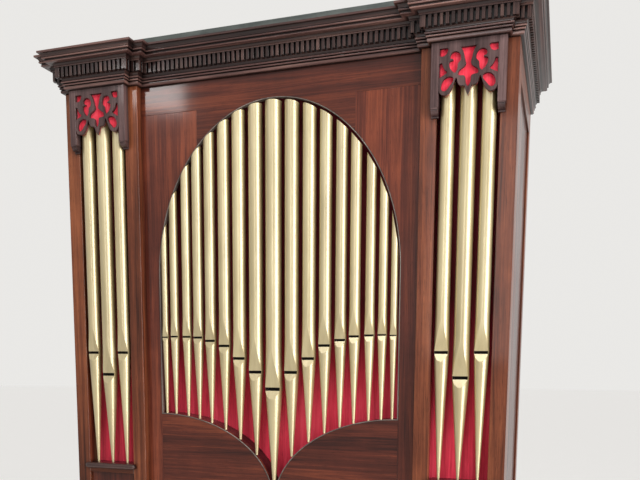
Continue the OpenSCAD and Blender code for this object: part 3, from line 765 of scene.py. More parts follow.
def tower(side, name):
    """A tower front: stiles and rails, the shallow box behind its opening, and two loose panels."""
    cx = side * TOWER_MIDDLE
    seed = 150 + side * 50
    b = Build()
    for k, q in enumerate((side, -side)):
        x0, x1 = sorted((cx + q * TOWER_OPEN, cx + q * TOWER / 2))
        board(b, (x0, 0, PLINTH), (x1, BOARD, TOP), 2, seed + 1 + k, 1.0 + 0.06 * k, 1.2)
    head = TOP - HEAD_RAIL
    rails = ((PLINTH, PLINTH + RAIL), (WAIST - RAIL, WAIST + WAIST_RAIL), (SILL_FOOT, SILL_SEAT), (head, TOP))
    for i, (z0, z1) in enumerate(rails):
        board(b, (cx - TOWER_OPEN, 0, z0), (cx + TOWER_OPEN, BOARD, z1), 0, seed + 10 + i, 0.95, 0.8)
    for q in (-1, 1):
        x0, x1 = sorted((cx + q * CHEEK, cx + q * (CHEEK + BOX)))
        board(b, (x0, BOARD, SILL_SEAT - CHEEK_DROP), (x1, TOWER_CLOTH, head), 2, seed + 20 + q, 0.9, 0.5, 1)
    for i, (half, z0) in enumerate(((CHEEK + BOX, head), (CHEEK, SILL_SEAT - BOX))):
        board(b, (cx - half, BOARD, z0), (cx + half, TOWER_CLOTH, z0 + BOX), 0, seed + 25 + i, 0.9, 0.5, 1)
    finish(b.make(name + "_tower_boards", [MAHOGANY, INSIDE]), name + "_tower_frame", "mahogany")
    b = Build()
    for i, (z0, z1) in enumerate(((PLINTH + RAIL, WAIST - RAIL), (WAIST + WAIST_RAIL, SILL_FOOT))):
        panel(b, (cx - TOWER_OPEN, z0, cx + TOWER_OPEN, z1), 0, BOARD, seed + 30 + i, 0.98)
    finish(b.make(name + "_tower_panelling", [RED]), name + "_tower_panels", "red_mahogany")


def framed(name, across, top, openings, y, thick, seed, woods, slots, place=None):
    """Two upright stiles over the full height, rails and uprights between them, and loose panels."""
    lefts = sorted({o[0] for o in openings})
    rights = sorted({o[2] for o in openings})
    rows = sorted({(o[1], o[3]) for o in openings})
    edges = [PLINTH, *(z for row in rows for z in row), top]
    b = Build()

    def member(x0, z0, x1, z1, axis, seed, tone, ease=0.8):
        board(b, (x0, y, z0), (x1, y + thick, z1), axis, seed, tone, ease, 0, place)

    member(across[0], PLINTH, lefts[0], top, 2, seed, 1.0, 1.2)
    member(rights[-1], PLINTH, across[1], top, 2, seed + 1, 1.04, 1.2)
    for i in range(0, len(edges), 2):
        member(lefts[0], edges[i], rights[-1], edges[i + 1], 0, seed + 5 + i, 0.96)
    for x0, x1 in zip(rights[:-1], lefts[1:]):
        for i, (z0, z1) in enumerate(rows):
            member(x0, z0, x1, z1, 2, seed + 20 + i, 1.0)
    finish(b.make(name + "_boards", [woods[0]]), name + "_frame", slots[0])
    loose = Build()
    for i, opening in enumerate(openings):
        panel(loose, opening, y, thick, seed + 40 + i, 1.0, place)
    finish(loose.make(name + "_panelling", [woods[1]]), name + "_panels", slots[1])


def lower_centre():
    """The two framed panels below the centre opening."""
    inner, outer = LOWER_MUNTIN / 2, CENTRE - LOWER_STILE
    low, high = PLINTH + RAIL, WAIST - RAIL
    openings = [(-outer, low, -inner, high), (inner, low, outer, high)]
    woods, slots = (MAHOGANY, RED), ("mahogany", "mahogany")
    framed("lower_centre", (-CENTRE, CENTRE), WAIST, openings, BOARD, SIDE, 300, woods, slots)


def case_side(side, name):
    """A side of the case, with one panel below the waist and one above."""
    run_back = DEPTH - BOARD
    rows = ((PLINTH + RAIL, WAIST - RAIL), (WAIST, TOP - RAIL))
    openings = [(STILE, z0, run_back - STILE, z1) for z0, z1 in rows]
    woods, slots = (MAHOGANY, RED), ("mahogany", "red_mahogany")
    seed = 450 + side * 50
    framed(name + "_side", (0, run_back), TOP, openings, 0, SIDE, seed, woods, slots, at_side(side))


def case_back():
    """The plain back, with four panels."""
    half = HALF - SIDE
    columns = ((STILE - half, -STILE / 2), (STILE / 2, half - STILE))
    rows = ((PLINTH + RAIL, WAIST - RAIL), (WAIST, TOP - RAIL))
    openings = [(x0, z0, x1, z1) for x0, x1 in columns for z0, z1 in rows]
    woods, slots = (INSIDE, INSIDE), ("inside_wood", "inside_wood")
    framed("back", (-half, half), TOP, openings, DEPTH - BACK, BACK, 600, woods, slots)


for side, name in SIDES:
    tower(side, name)
lower_centre()
for side, name in SIDES:
    case_side(side, name)
case_back()

# Forms that are kept as they are in the frame
for node, material, axis, seed, tone, slot in (
    ("bottom_boards", INSIDE, 0, 702, 1.0, "inside_wood"),
    ("left_sill", DARK, 0, 703, 1.1, "dark_mahogany"),
    ("right_sill", DARK, 0, 704, 1.1, "dark_mahogany"),
    ("pipe_ledge", DARK, 0, 712, 1.0, "dark_mahogany"),
    ("pipe_box", INSIDE, 2, 713, 0.8, "inside_wood"),
    ("frieze_boards", INSIDE, 0, 714, 1.0, "inside_wood"),
):
    kept_form(node, material, axis, seed, tone, slot)

GAP = 0.4


def in_centre(side, proud=0.0):
    """Turns an outline of the centre front into places, mirrored for the left side."""
    return lambda u, v, d: (side * u, BOARD - proud + d, v)


def centre_stile(side, name):
    """The board beside the opening, whose inner edge is the lower part of the arch."""
    outline = [(OUTER, WAIST), (OPENING, WAIST)] + arch(0, 0, JOIN_ANGLE, 60)
    outline = tidy(outline + [(JOIN, JOINT), (OUTER, JOINT)])
    piece = "centre_%s_board" % name
    ob = cut_out(piece, outline, in_centre(side), FRONT_BOARD, 0.8, RED, 2, 706 + side, 1.28)
    finish(ob, "centre_%s_stile" % name, "mahogany")


def shoulder_board(side, name):
    """The board below the opening, which falls in a curve to the middle of the case."""
    corner_x = OPENING - 0.3
    outline = [(corner_x, WAIST), (GAP, WAIST)] + shoulder(GAP, 0, 180, 92, 68)
    outline = tidy(outline + [(corner_x, SHOULDER)])
    piece = "%s_shoulder_board" % name
    ob = cut_out(piece, outline, in_centre(side), FRONT_BOARD, 0.5, RED, 0, 711 + side, 1.2)
    finish(ob, "%s_shoulder" % name, "red_mahogany")


def top_rail():
    """The board over the opening, whose lower edge is the head of the arch."""
    seat = JOINT + GAP
    outline = [(OUTER, TOP), (OUTER, seat), (JOIN, seat)] + arch(0, JOIN_ANGLE, 180 - JOIN_ANGLE, 90)
    outline = tidy(outline + [(-JOIN, seat), (-OUTER, seat), (-OUTER, TOP)])
    ob = cut_out("centre_rail_board", outline, in_centre(1), FRONT_BOARD, 0.6, RED, 0, 708)
    finish(ob, "centre_top_rail", "red_mahogany")


def opening_bead():
    """The bead that runs round the arch and down both edges of the opening."""
    inner = OPENING - BEAD_WIDE
    outline = [(OPENING, SHOULDER)] + arch(0, 0, 180, 120) + [(-OPENING, SHOULDER)]
    outline += [(-inner, SHOULDER)] + arch(BEAD_WIDE, 180, 0, 120) + [(inner, SHOULDER)]
    place = in_centre(1, BEAD_PROUD)
    ob = cut_out("opening_bead_strip", tidy(outline), place, FRONT_BOARD + BEAD_PROUD, 1.3, BEAD, 2, 711)
    finish(ob, "opening_bead", "fret_wood")


def shoulder_bead(side, name):
    """The thin bead along the top edge of a shoulder board."""
    upper = shoulder(GAP, 0, 180, 90, 70)
    under = shoulder(GAP + BEAD_WIDE, BEAD_WIDE, 90, 180, 70)
    place = in_centre(side, BEAD_PROUD)
    finish(cut_out(name + "_shoulder_bead", tidy(upper + under), place, BEAD_PROUD, 0.6, BEAD, 0, 718 + side))


for side, name in SIDES:
    centre_stile(side, name)
    shoulder_board(side, name)
top_rail()
opening_bead()
for side, name in SIDES:
    shoulder_bead(side, name)

FASCIA = FASCIA_OUT / COURSE_OUT
BED = (COURSE_OUT + DENTIL_OUT) / CROWN_OUT


def reed(reach, low, high, deep):
    """A round reed that stands out to a reach between two heights."""
    return ellipse(reach - deep, (low + high) / 2, deep, (high - low) / 2, -90, 90, 14)


def sized(profile, reach, height, low=0.0):
    """A profile drawn in shares of its reach and height, given its size."""
    return tidy([(x * reach, low + z * height) for x, z in profile])


architrave = sized(
    [(0, 0), (FASCIA - 0.25, 0), (FASCIA, 0.08), (FASCIA, 0.3), (FASCIA - 0.15, 0.33)]
    + reed(FASCIA + 0.15, 0.37, 0.56, 0.15) + reed(FASCIA + 0.31, 0.58, 0.79, 0.17)
    + [(FASCIA + 0.19, 0.81)] + ellipse(1, 0.81, 0.81 - FASCIA, 0.19, 180, 90, 10) + [(0, 1)],
    COURSE_OUT, ARCHITRAVE,
)
crown = sized(
    [(0, 0), (BED + 0.03, 0), (BED + 0.03, 0.13), (BED + 0.08, 0.24), (0.72, 0.24)]
    + reed(0.78, 0.26, 0.38, 0.04) + [(0.75, 0.38), (0.75, 0.47)] + reed(0.85, 0.47, 0.61, 0.05)
    + ellipse(0.97, 0.62, 0.13, 0.23, 180, 90, 14) + [(1, 0.85), (1, 0.98), (0.99, 1), (0, 1)],
    CROWN_OUT, CROWN_TALL,
)
belt = sized(
    [(0, 0), (0.3, 0), (0.3, 0.15)] + ellipse(0.3, 0.5, 0.7, 0.35, -90, 90, 18)
    + [(0.5, 0.85), (0.5, 1), (0, 1)],
    20, 40, -34,
)
for name, node, line, profile, z0, slot, seed, tone in (
    ("architrave_moulding", "architrave", FACE, architrave, TOP, "dark_mahogany", 715, 1.25),
    ("crown_moulding_wood", "crown_moulding", FACE, crown, CROWN - CROWN_TALL, "mahogany", 730, 1.5),
    ("waist_belt", "waist_moulding", PLAIN, belt, WAIST, "dark_mahogany", 750, 1.0),
):
    b = Build()
    sweep(b, line, eased(profile, 0.7), z0, seed, tone)
    finish(joined(b.make(name, [DARK])), node, slot)

PLINTH_OUT, PLINTH_STEP, PLINTH_BOARD = 16, 18, 20


def plinth():
    """The plinth boards, stepped back below their top, and closed at the back."""
    step, inner = PLINTH - PLINTH_STEP, -PLINTH_BOARD
    profile = [
        (inner, 0), (PLINTH_OUT, 0), (PLINTH_OUT, step),
        (PLINTH_OUT / 2, step), (PLINTH_OUT / 2, PLINTH), (inner, PLINTH),
    ]
    b = Build()
    sweep(b, PLAIN, eased(profile, 1.2), 0, 770)
    board(b, (-HALF - inner, DEPTH + inner, 0), (HALF + inner, DEPTH, PLINTH), 0, 779)
    finish(joined(b.make("plinth_boards", [DARK])), "plinth", "dark_mahogany")


def dentils(b):
    """The blocks along each face, evenly spaced and each a little off its place."""
    reach = COURSE_OUT + DENTIL_OUT
    for i in range(len(FACE) - 1):
        x0, y0 = corner(FACE, i, reach)
        x1, y1 = corner(FACE, i + 1, reach)
        length = math.hypot(x1 - x0, y1 - y0)
        dx, dy = run(FACE, i)
        count = max(1, int((length + PITCH - DENTIL) // PITCH))
        first = (length - (count - 1) * PITCH - DENTIL) / 2
        rnd = random.Random(900 + i)
        for k in range(count):
            at = first + k * PITCH + rnd.uniform(-0.25, 0.25)

            def place(p):
                x, y = x0 + dx * (at + p[0]) - dy * p[1], y0 + dy * (at + p[0]) + dx * p[1]
                return (x, y, TOP + ARCHITRAVE + 1 + p[2])

            seed, tone = 1000 + i * 200 + k, rnd.uniform(0.9, 1.08)
            board(b, (0, 0, 0), (DENTIL, DENTIL_OUT + 1, COURSE - 1), 2, seed, tone, 0.6, place=place)


def dentil_course():
    """The flat band between the mouldings of the cornice, with its blocks."""
    b = Build()
    band = [(0, 0), (COURSE_OUT, 0), (COURSE_OUT, COURSE), (0, COURSE)]
    sweep(b, FACE, band, TOP + ARCHITRAVE, 790, 0.9)
    dentils(b)
    finish(b.make("dentil_blocks", [DARK]), "dentil_course", "dark_mahogany")


def roof():
    """Planks from front to back, with joints where the front breaks forward or back."""
    b = Build()
    breaks = [-HALF, -TOWER_MIDDLE - SHADE / 2, -TOWER_MIDDLE, -TOWER_MIDDLE + SHADE / 2, -CENTRE]
    between = [-CENTRE + 2 * CENTRE * k / 8 for k in range(1, 8)]
    joints = breaks + between + [-x for x in reversed(breaks)]
    for i, (x0, x1) in enumerate(zip(joints[:-1], joints[1:])):
        middle = abs((x0 + x1) / 2)
        front = 0
        if middle < CENTRE:
            front = BOARD
        elif abs(middle - TOWER_MIDDLE) < SHADE / 2:
            front = -STEP
        low, high = (x0 + 0.4, front + 0.5, CROWN - ROOF), (x1 - 0.4, DEPTH - 0.5, CROWN - 1)
        board(b, low, high, 1, 1900 + i, random.Random(i).uniform(0.85, 1.1), 0.8)
    finish(b.make("roof_planks", [INSIDE]), "roof_boards", "inside_wood")


def top_board():
    """The painted board that stands on edge along the front of the roof."""
    b = Build()
    half, front = HALF - 10, BOARD + 8
    board(b, (-half, front, CROWN - 1), (half, front + 20, CROWN + 62), 0, 1950, 1.0, 1.5)
    finish(b.make("grey_top_board", [GREY]), "top_board", "grey_board")


plinth()
dentil_course()
roof()
top_board()


def fret(*runs):
    """A half outline of the fret, from shares of its half width and of its hang."""
    return tidy([(x * FRET_HALF, -z * HANG) for run_of in runs for x, z in run_of])


def both(points):
    return tidy(points + [(-x, z) for x, z in reversed(points)])


edge = fret(
    [(1, 0), (1, 0.85)],
    bend((1, 0.85), (0.99, 0.93), (0.91, 0.97), (0.78, 0.97), 12),
    bend((0.78, 0.97), (0.66, 0.97), (0.58, 0.91), (0.53, 0.84), 12),
    bend((0.53, 0.84), (0.48, 0.78), (0.46, 0.7), (0.4, 0.67), 12),
    bend((0.4, 0.67), (0.35, 0.71), (0.37, 0.8), (0.25, 0.82), 14),
    bend((0.25, 0.82), (0.2, 0.83), (0.14, 0.81), (0.11, 0.84), 8),
    bend((0.11, 0.84), (0.08, 0.9), (0.05, 0.96), (0, 1), 8),
)
vase = fret(
    bend((0.28, 0.13), (0.19, 0.17), (0.15, 0.25), (0.125, 0.33), 12),
    bend((0.125, 0.33), (0.105, 0.37), (0.085, 0.4), (0.085, 0.43), 6),
    bend((0.085, 0.43), (0.1, 0.48), (0.2, 0.5), (0.27, 0.53), 12),
    bend((0.27, 0.53), (0.34, 0.55), (0.37, 0.61), (0.32, 0.63), 12),
    bend((0.32, 0.63), (0.26, 0.65), (0.13, 0.62), (0.095, 0.68), 12),
    bend((0.095, 0.68), (0.095, 0.74), (0.08, 0.81), (0, 0.85), 10),
)
side_leaf = fret(
    bend((0.45, 0.585), (0.38, 0.55), (0.36, 0.51), (0.36, 0.46), 12),
    bend((0.36, 0.46), (0.37, 0.39), (0.25, 0.4), (0.25, 0.325), 12),
    bend((0.25, 0.325), (0.25, 0.245), (0.34, 0.195), (0.46, 0.195), 14),
    bend((0.46, 0.195), (0.57, 0.195), (0.64, 0.245), (0.62, 0.3), 12),
    bend((0.62, 0.3), (0.61, 0.318), (0.56, 0.326), (0.515, 0.332), 6),
    bend((0.515, 0.35), (0.59, 0.352), (0.66, 0.365), (0.66, 0.4), 10),
    bend((0.66, 0.4), (0.66, 0.47), (0.57, 0.55), (0.45, 0.585), 14),
)
corner_square = fret(
    [(0.68, 0.14), (0.73, 0.12), (0.985, 0.12), (0.985, 0.245)],
    bend((0.985, 0.245), (0.93, 0.275), (0.8, 0.275), (0.73, 0.215), 12),
)
side_triangle = fret(
    [(0.985, 0.65), (0.985, 0.39), (0.9, 0.38)],
    bend((0.9, 0.38), (0.86, 0.45), (0.84, 0.5), (0.73, 0.54), 12),
    bend((0.73, 0.54), (0.67, 0.57), (0.82, 0.6), (0.985, 0.65), 12),
)
corner_drop = fret(
    bend((0.49, 0.68), (0.53, 0.63), (0.72, 0.615), (0.84, 0.69), 14),
    bend((0.84, 0.69), (0.91, 0.735), (0.95, 0.81), (0.9, 0.865), 12),
    bend((0.9, 0.865), (0.84, 0.915), (0.72, 0.905), (0.65, 0.83), 14),
    bend((0.65, 0.83), (0.57, 0.775), (0.48, 0.745), (0.49, 0.68), 12),
)
fret_outer = both(edge)
fret_holes = [both(vase)]
for hole in (side_leaf, corner_square, side_triangle, corner_drop):
    fret_holes += [hole, [(-x, z) for x, z in hole]]


def fretwork(side, name):
    """The sawn fret of a pipe shade."""
    def place(u, v, d):
        return (side * (TOWER_MIDDLE + u), -STEP + d, TOP + v)

    piece = name + "_fretwork"
    ob = cut_out(piece, fret_outer, place, FRET_BOARD, 0.7, FRET, 2, 721 + side, holes=fret_holes)
    finish(ob, name + "_shade_fret", "fret_wood")


def shade_strips(side, name):
    """The upright strips beside a fret, each with a rounded stop at its foot."""
    cx = side * TOWER_MIDDLE
    foot = TOP - STRIP_LENGTH
    stop = [(0, 0.5), (-STEP, 0.5), (-STEP, -5), (-STEP + 4, -5)]
    stop = tidy(stop + ellipse(-4, -5, STEP - 8, 17, 180, 270, 14) + [(-6, -22), (-6, -28), (0, -28)])
    n = len(stop)
    ends = [list(range(n))[::-1], [n + k for k in range(n)]]
    faces = [[k, (k + 1) % n, n + (k + 1) % n, n + k] for k in range(n)] + ends
    b = Build()
    for q in (-1, 1):
        seed = q + side * 5
        x0, x1 = sorted((cx + q * (FRET_HALF + 0.05), cx + q * SHADE / 2))
        board(b, (x0, -STEP, foot), (x1, 0, TOP - 0.2), 2, 1960 + seed)
        x0, x1 = sorted((cx + q * (FRET_HALF + 2), cx + q * (SHADE / 2 - 2)))
        verts = [(x, y, foot + z) for x in (x0, x1) for y, z in stop]
        b.add(verts, faces, 2, 1970 + seed)
    finish(joined(b.make(name + "_shade_strips", [FRET])), name + "_shade_frame", "fret_wood")


for side, name in SIDES:
    fretwork(side, name)
    shade_strips(side, name)

# Shares of a pipe's radius, apart from the end of its foot, which is in millimetres
FLARE = 1.09  # radius at the mouth
FLAT = 0.45  # where the flattened front lies, as a share of that
LEAF = 4.5  # height of the leaf above the mouth
CUT = 0.42  # height of the slot
LIP = 1.25  # height of the lower lip
TIP = 5.0
FRONT_POINTS, ROUND_POINTS = 10, 54
SAWN_RINGS = 6


def pipe_levels(tip, mouth, cut, lip, leaf):
    """Heights of the rings of points from the foot up to the tip of the upper lip."""
    low = mouth - cut - lip
    foot = [tip, tip + 3] + [tip + (low - tip) * k / 8 for k in range(1, 8)]
    lower = [low + lip * (1 - math.cos(math.pi / 2 * k / 14)) for k in range(15)]
    upper = [mouth + leaf * k / 22 for k in range(23)]
    return foot + lower + upper


def pipe_ring(radius, front):
    """Points round a pipe, the first of them along a flat strip that lies across its front."""
    front = max(front, -radius * math.cos(0.03))
    theta = math.acos(max(-1.0, min(1.0, -front / radius)))
    half = radius * math.sin(theta)
    ring = [((-1 + 2 * k / FRONT_POINTS) * half, front) for k in range(FRONT_POINTS)]
    for k in range(ROUND_POINTS):
        a = theta + (2 * math.pi - 2 * theta) * k / ROUND_POINTS
        ring.append((radius * math.sin(a), -radius * math.cos(a)))
    return ring


def pipe(b, cx, cy, radius, tip, mouth, top, seed):
    """One front pipe in rings of points, flattened at the front in the leaf and the lower lip."""
    wide = radius * FLARE
    flat_y = FLAT * wide
    leaf = LEAF * radius
    sink = radius - flat_y
    bow = (leaf * leaf + sink * sink) / (2 * sink)
    cut = CUT * radius
    lip = LIP * radius
    low = mouth - cut - lip
    levels = pipe_levels(tip, mouth, cut, lip, leaf)
    rows = []
    for z in levels + [mouth + leaf] * SAWN_RINGS:
        if z <= mouth:
            r = TIP + (wide - TIP) * (z - tip) / (mouth - tip)
        else:
            r = wide + (radius - wide) * (z - mouth) / leaf
        front = -r
        if low < z <= mouth - cut + 1e-6:
            front = -wide + (wide - flat_y) * (z - low) / lip
        elif mouth - cut < z < mouth:
            front = -flat_y
        elif mouth <= z < mouth + leaf:
            d = mouth + leaf - z
            front = (bow - radius) - math.sqrt(max(0.0, bow * bow - d * d))
        share = max(0, len(rows) - len(levels) + 1) / SAWN_RINGS
        ring = pipe_ring(r, front)
        rows.append([(cx + x, cy + y, z + (top(cx + x) - z) * share) for x, y in ring])
    n = FRONT_POINTS + ROUND_POINTS
    slot_row = levels.index(mouth) - 1
    faces = []
    for i in range(len(rows) - 1):
        for k in range(n):
            if i != slot_row or k >= FRONT_POINTS:
                a, c = i * n + k, i * n + (k + 1) % n
                faces.append([a, c, c + n, a + n])
    faces.append(list(range(n))[::-1])
    faces.append([(len(rows) - 1) * n + k for k in range(n)])
    tone = random.Random(seed).uniform(0.94, 1.05)
    b.add([p for row in rows for p in row], faces, 2, seed, tone)
    mouth_hollow(b, rows[slot_row], rows[slot_row + 1], cx, 0.9 * radius, seed)


def mouth_hollow(b, lower, upper, cx, depth, seed):
    """The dark inside of the slot, between the lower lip and the upper lip."""
    m = FRONT_POINTS + 1
    verts = []
    for ring in (lower[:m], upper[:m]):
        verts += ring
        verts += [(cx + (x - cx) * 0.9, y + depth, z) for x, y, z in ring]
    faces = []
    for k in range(FRONT_POINTS):
        faces.append([k, k + 1, m + k + 1, m + k])
        faces.append([2 * m + k, 3 * m + k, 3 * m + k + 1, 2 * m + k + 1])
        faces.append([m + k, m + k + 1, 3 * m + k + 1, 3 * m + k])
    faces.append([0, m, 3 * m, 2 * m])
    faces.append([m - 1, 3 * m - 1, 4 * m - 1, 2 * m - 1])
    b.add(verts, faces, 2, seed, 1.0, 1)


def pipe_row(name, node, rows):
    """The pipes of one group as one piece."""
    b = Build()
    for i, row in enumerate(rows):
        pipe(b, *row, seed=800 + i)
    ob = b.make(name, [GILT, SHADOW])
    merged(ob.data, ob.data, 1e-6)
    smoothed(ob.data, 28)
    finish(ob, node, "gilt")


# The centre pipes, from the middle outwards
PLACES = [share * OPENING for share in (0, 0.149, 0.29, 0.419, 0.543, 0.653, 0.77, 0.868, 0.953)]
RADII = [33.5, 29, 27.5, 25, 23, 21.5, 19.5, 17.5, 13.5]
MOUTHS = [SHOULDER + rise for rise in (119, 188, 244, 296, 317, 331, 334, 335, 332)]
CENTRE_PIPE_Y = BOARD + 3
STRAY, STRAY_SHIFT = -6, 8  # the pipe that stands off its even place
BESIDE, UNDER = 9.0, 18.0  # how far the line of the tops runs inside the arch
SEAT = 0.3

# The tower pipes
TOWER_RADII = (26.5, 30, 26.5)
TOWER_PITCH = 75
TOWER_MOUTH = SILL + 404
TOWER_MOUTH_RISE = 95
TOWER_PIPE_Y = 12
TOWER_PIPE_TOP = TOP - 52


def shoulder_at(x):
    """Height of the top of a shoulder board at a distance from the middle of the case."""
    share = max(0.0, OPENING - x) / OPENING
    return SHOULDER - FALL + FALL * math.sqrt(max(0.0, 1 - share * share))


def sawn_top(x):
    """Height of a pipe's top under the bead of the arch."""
    share = min(1.0, abs(x) / (OPENING - BESIDE))
    return SPRING + (RISE - UNDER) * math.sqrt(1 - share * share)


def centre_pipe_rows():
    rows = []
    for k in range(-8, 9):
        x = math.copysign(PLACES[abs(k)], k) + (STRAY_SHIFT if k == STRAY else 0)
        foot = shoulder_at(abs(x) + TIP) + SEAT
        rows.append((x, CENTRE_PIPE_Y, RADII[abs(k)], foot, MOUTHS[abs(k)], sawn_top))
    return rows


def tower_pipe_rows(side):
    rows = []
    for k, radius in zip((-1, 0, 1), TOWER_RADII):
        x = side * (TOWER_MIDDLE + k * TOWER_PITCH)
        mouth = TOWER_MOUTH + abs(k) * TOWER_MOUTH_RISE
        rows.append((x, TOWER_PIPE_Y, radius, SILL + SEAT, mouth, lambda x: TOWER_PIPE_TOP))
    return rows


pipe_row("centre_pipe_row", "centre_pipes", centre_pipe_rows())
for side, name in SIDES:
    pipe_row(name + "_tower_pipe_row", name + "_tower_pipes", tower_pipe_rows(side))

CLOTH = 0.6
GRID = 9.0
EDGE = 60.0  # width of the strip beside the tacks that stays flat
CLOTH_OFF = 1.0  # from the boards that a cloth is tacked to
TUCK = 11.0  # how far the centre cloth runs below the shoulders


def sliced(bm, low, high, step, axis):
    """Cuts a flat mesh at even distances along an axis."""
    count = int((high - low) / step)
    for k in range(1, count):
        place, across = [0, 0, 0], [0, 0, 0]
        place[axis] = (low + (high - low) * k / count) * MM
        across[axis] = 1
        parts = bm.verts[:] + bm.edges[:] + bm.faces[:]
        bmesh.ops.bisect_plane(bm, geom=parts, dist=1e-7, plane_co=place, plane_no=across)


def pull_lines(x, z, seed):
    """How much a tight cloth stands off at a place, in long upright folds."""
    broad = noise.noise(Vector((x / 38.0, seed * 3.1, z / 520.0)))
    fine = noise.noise(Vector((x / 15.0, seed * 5.7, z / 260.0)))
    return broad + 0.5 * fine


def thickened(ob, thick):
    """Gives a sheet its thickness, half to each side."""
    mod = ob.modifiers.new("thickness", "SOLIDIFY")
    mod.thickness = thick
    mod.offset = 0.0
    deps = bpy.context.evaluated_depsgraph_get()
    me = bpy.data.meshes.new_from_object(ob.evaluated_get(deps))
    ob.modifiers.clear()
    ob.data = me
    return me


def sheet(name, node, outline, y, material, slot, seed, pull, rests, cut=False):
    """A stretched cloth with slight pull lines, tacked at its edge. cut changes nothing."""
    xs = [p[0] for p in outline]
    zs = [p[1] for p in outline]
    x0, x1, z0, z1 = min(xs), max(xs), min(zs), max(zs)
    bm = bmesh.new()
    bm.faces.new([bm.verts.new((x * MM, 0, z * MM)) for x, z in outline])
    sliced(bm, x0, x1, GRID, 0)
    sliced(bm, z0, z1, GRID * 3, 2)
    for v in bm.verts:
        x, z = v.co.x * 1000, v.co.z * 1000
        free = min(1.0, min(x - x0, x1 - x, z - z0, z1 - z) / EDGE)
        v.co.y = (y + pull * free * pull_lines(x, z, seed)) * MM + FACE_Y * MM
    bmesh.ops.recalc_face_normals(bm, faces=bm.faces[:])
    flat_area = sum(f.calc_area() for f in bm.faces)
    me = bpy.data.meshes.new(name)
    bm.to_mesh(me)
    bm.free()
    ob = linked(name, me)
    me = thickened(ob, CLOTH * MM)
    me.materials.clear()
    me.materials.append(material)
    for p in me.polygons:
        p.use_smooth = True
    finish(ob, node, slot)
    if cut:
        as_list(rests)
    else:
        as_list(rests)


def centre_cloth():
    """The cloth behind the centre pipes, its lower edge cut to the two shoulders."""
    half, top = OPENING + BOX_GAP + BOX - 1, TOP - BOX_GAP - 1
    right = shoulder(TUCK, TUCK, 180, 90, 30) + [(half, SHOULDER - TUCK)]
    outline = right + [(half, top), (-half, top)] + [(-x, z) for x, z in reversed(right)]
    y = BOARD + FRONT_BOARD + LEDGE + CLOTH_OFF
    rests = ["pipe_box"]
    sheet("centre_cloth_sheet", "centre_cloth", outline, y, CRIMSON, "crimson_cloth", 1, 1.6, rests, cut=True)


def tower_cloth(side, name):
    """The cloth on the box behind a tower's pipes."""
    cx = side * TOWER_MIDDLE
    half = CHEEK + BOX - 0.5
    z0, z1 = SILL - 35, TOP - 27
    outline = [(cx - half, z0), (cx + half, z0), (cx + half, z1), (cx - half, z1)]
    y = TOWER_CLOTH + SEAT + CLOTH_OFF
    piece, node, rests = name + "_tower_cloth_sheet", name + "_tower_cloth", [name + "_tower_frame"]
    sheet(piece, node, outline, y, CRIMSON, "crimson_cloth", 2 + side, 1.2, rests)


def shade_cloth(side, name):
    """The cloth on the back of a fret, cut to its outline."""
    outline = [(side * (TOWER_MIDDLE + x), TOP + z) for x, z in fret_outer]
    y = -STEP + FRET_BOARD + 0.77
    piece, node, rests = name + "_shade_cloth_sheet", name + "_shade_cloth", [name + "_shade_fret"]
    sheet(piece, node, outline, y, BRIGHT, "bright_cloth", 6 + side, 0.0, rests, cut=True)


centre_cloth()
for side, name in SIDES:
    tower_cloth(side, name)
    shade_cloth(side, name)


def ground():
    """A wide pale floor, brighter where it is seen or mirrored than as a light."""
    bpy.ops.mesh.primitive_plane_add(size=120)
    floor = bpy.context.object
    floor.name = "floor"
    n = Paint("floor")
    cloud = n.noise(n.new("TexCoord").outputs["Object"], 3.0, 4.0)
    pale = n.ramp(cloud, [(0.3, (0.50, 0.49, 0.48)), (0.7, (0.53, 0.52, 0.51))])
    n.set(Base_Color=pale, Roughness=0.9, Specular_IOR_Level=0.1)
    rays = n.new("LightPath")
    seen = n.math("MAXIMUM", rays.outputs["Is Camera Ray"], rays.outputs["Is Glossy Ray"])
    n.set(Emission_Color=(0.86, 0.85, 0.83, 1), Emission_Strength=n.math("MULTIPLY", seen, 0.68))
    floor.data.materials.append(n.m)


def studio():
    """The surround: a pale tone where it is seen or mirrored, and a dimmer light for the rest."""
    world = bpy.data.worlds.new("studio")
    bpy.context.scene.world = world
    world.use_nodes = True
    n = Tree(world.node_tree)
    rays = n.new("LightPath")
    seen = n.math("MAXIMUM", rays.outputs["Is Camera Ray"], rays.outputs["Is Transmission Ray"])
    seen = n.math("MAXIMUM", seen, rays.outputs["Is Glossy Ray"])
    pick = n.new("MixShader")
    n.put(seen, pick.inputs[0])
    for i, (colour, strength) in enumerate((((1.0, 0.98, 0.95, 1), 0.35), ((0.82, 0.81, 0.79, 1), 1.0))):
        light = n.new("Background")
        n.put(colour, light.inputs[0])
        n.put(strength, light.inputs[1])
        n.put(light.outputs[0], pick.inputs[i + 1])
    n.put(pick.outputs[0], n.new("OutputWorld").inputs[0])


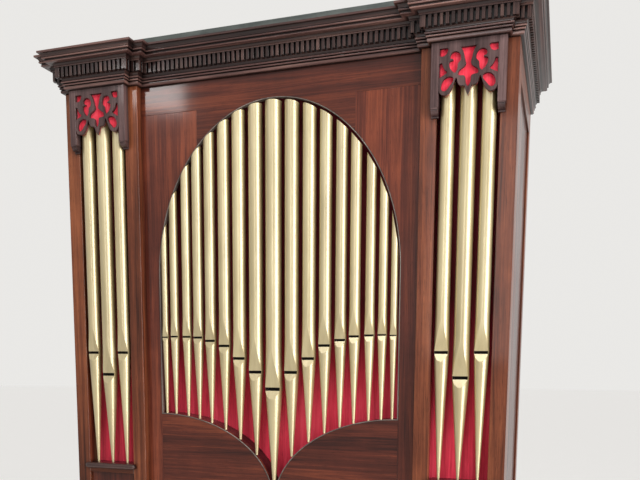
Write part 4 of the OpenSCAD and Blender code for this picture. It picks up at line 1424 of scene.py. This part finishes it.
def lamp(name, place, aim, size, power, colour):
    """A flat lamp of a width and a height, turned towards a point."""
    data = bpy.data.lights.new(name, "AREA")
    data.shape = "RECTANGLE"
    data.size, data.size_y = size
    data.energy = power
    data.color = colour
    ob = linked(name, data)
    ob.location = place
    ob.rotation_euler = (Vector(aim) - Vector(place)).to_track_quat("-Z", "Y").to_euler()


YAW, PITCH_UP, ROLL = 0.31696, -0.12697, 0.00596
EYE = (1.1417, -2.8212 + FACE_Y * MM, 1.7443)
FOCAL_PIXELS = 731.48
WIDTH_PIXELS, HEIGHT_PIXELS = 640.0, 480.0
CENTRE_ROW = 460.0
SENSOR = 36.0


def photo_camera():
    """The camera that took the photograph, found from the edges of the case."""
    flat = math.cos(PITCH_UP)
    ahead = Vector((-math.sin(YAW) * flat, math.cos(YAW) * flat, math.sin(PITCH_UP)))
    level = Vector((math.cos(YAW), math.sin(YAW), 0))
    above = level.cross(ahead)
    c, s = math.cos(ROLL), math.sin(ROLL)
    right = level * c + above * s
    up = above * c - level * s
    data = bpy.data.cameras.new("camera")
    cam = linked("camera", data)
    rows = [(right[i], up[i], -ahead[i], EYE[i]) for i in range(3)]
    cam.matrix_world = Matrix((*rows, (0, 0, 0, 1)))
    data.sensor_width = SENSOR
    data.lens = FOCAL_PIXELS * SENSOR / WIDTH_PIXELS
    data.shift_y = (CENTRE_ROW - HEIGHT_PIXELS / 2) / WIDTH_PIXELS
    data.clip_end = 60
    bpy.context.scene.camera = cam


ground()
studio()
lamp("window", (4.6, -3.0, 2.6), (0, -0.3, 1.8), (2.6, 5.0), 275, (1.0, 0.99, 0.97))
lamp("left", (-3.15, -4.85, 4.65), (-0.3, -0.3, 2.4), (0.55, 0.3), 12.5, (1.0, 0.99, 0.98))
lamp("front", (0.3, -4.8, 2.9), (0.5, -0.36, 2.0), (0.9, 2.2), 24, (0.97, 0.98, 1.0))
lamp("high", (0.4, -3.0, 5.6), (0, -0.3, 2.8), (3.6, 0.4), 60, (0.98, 0.99, 1.0))
photo_camera()
bpy.context.scene.view_settings.view_transform = "Standard"
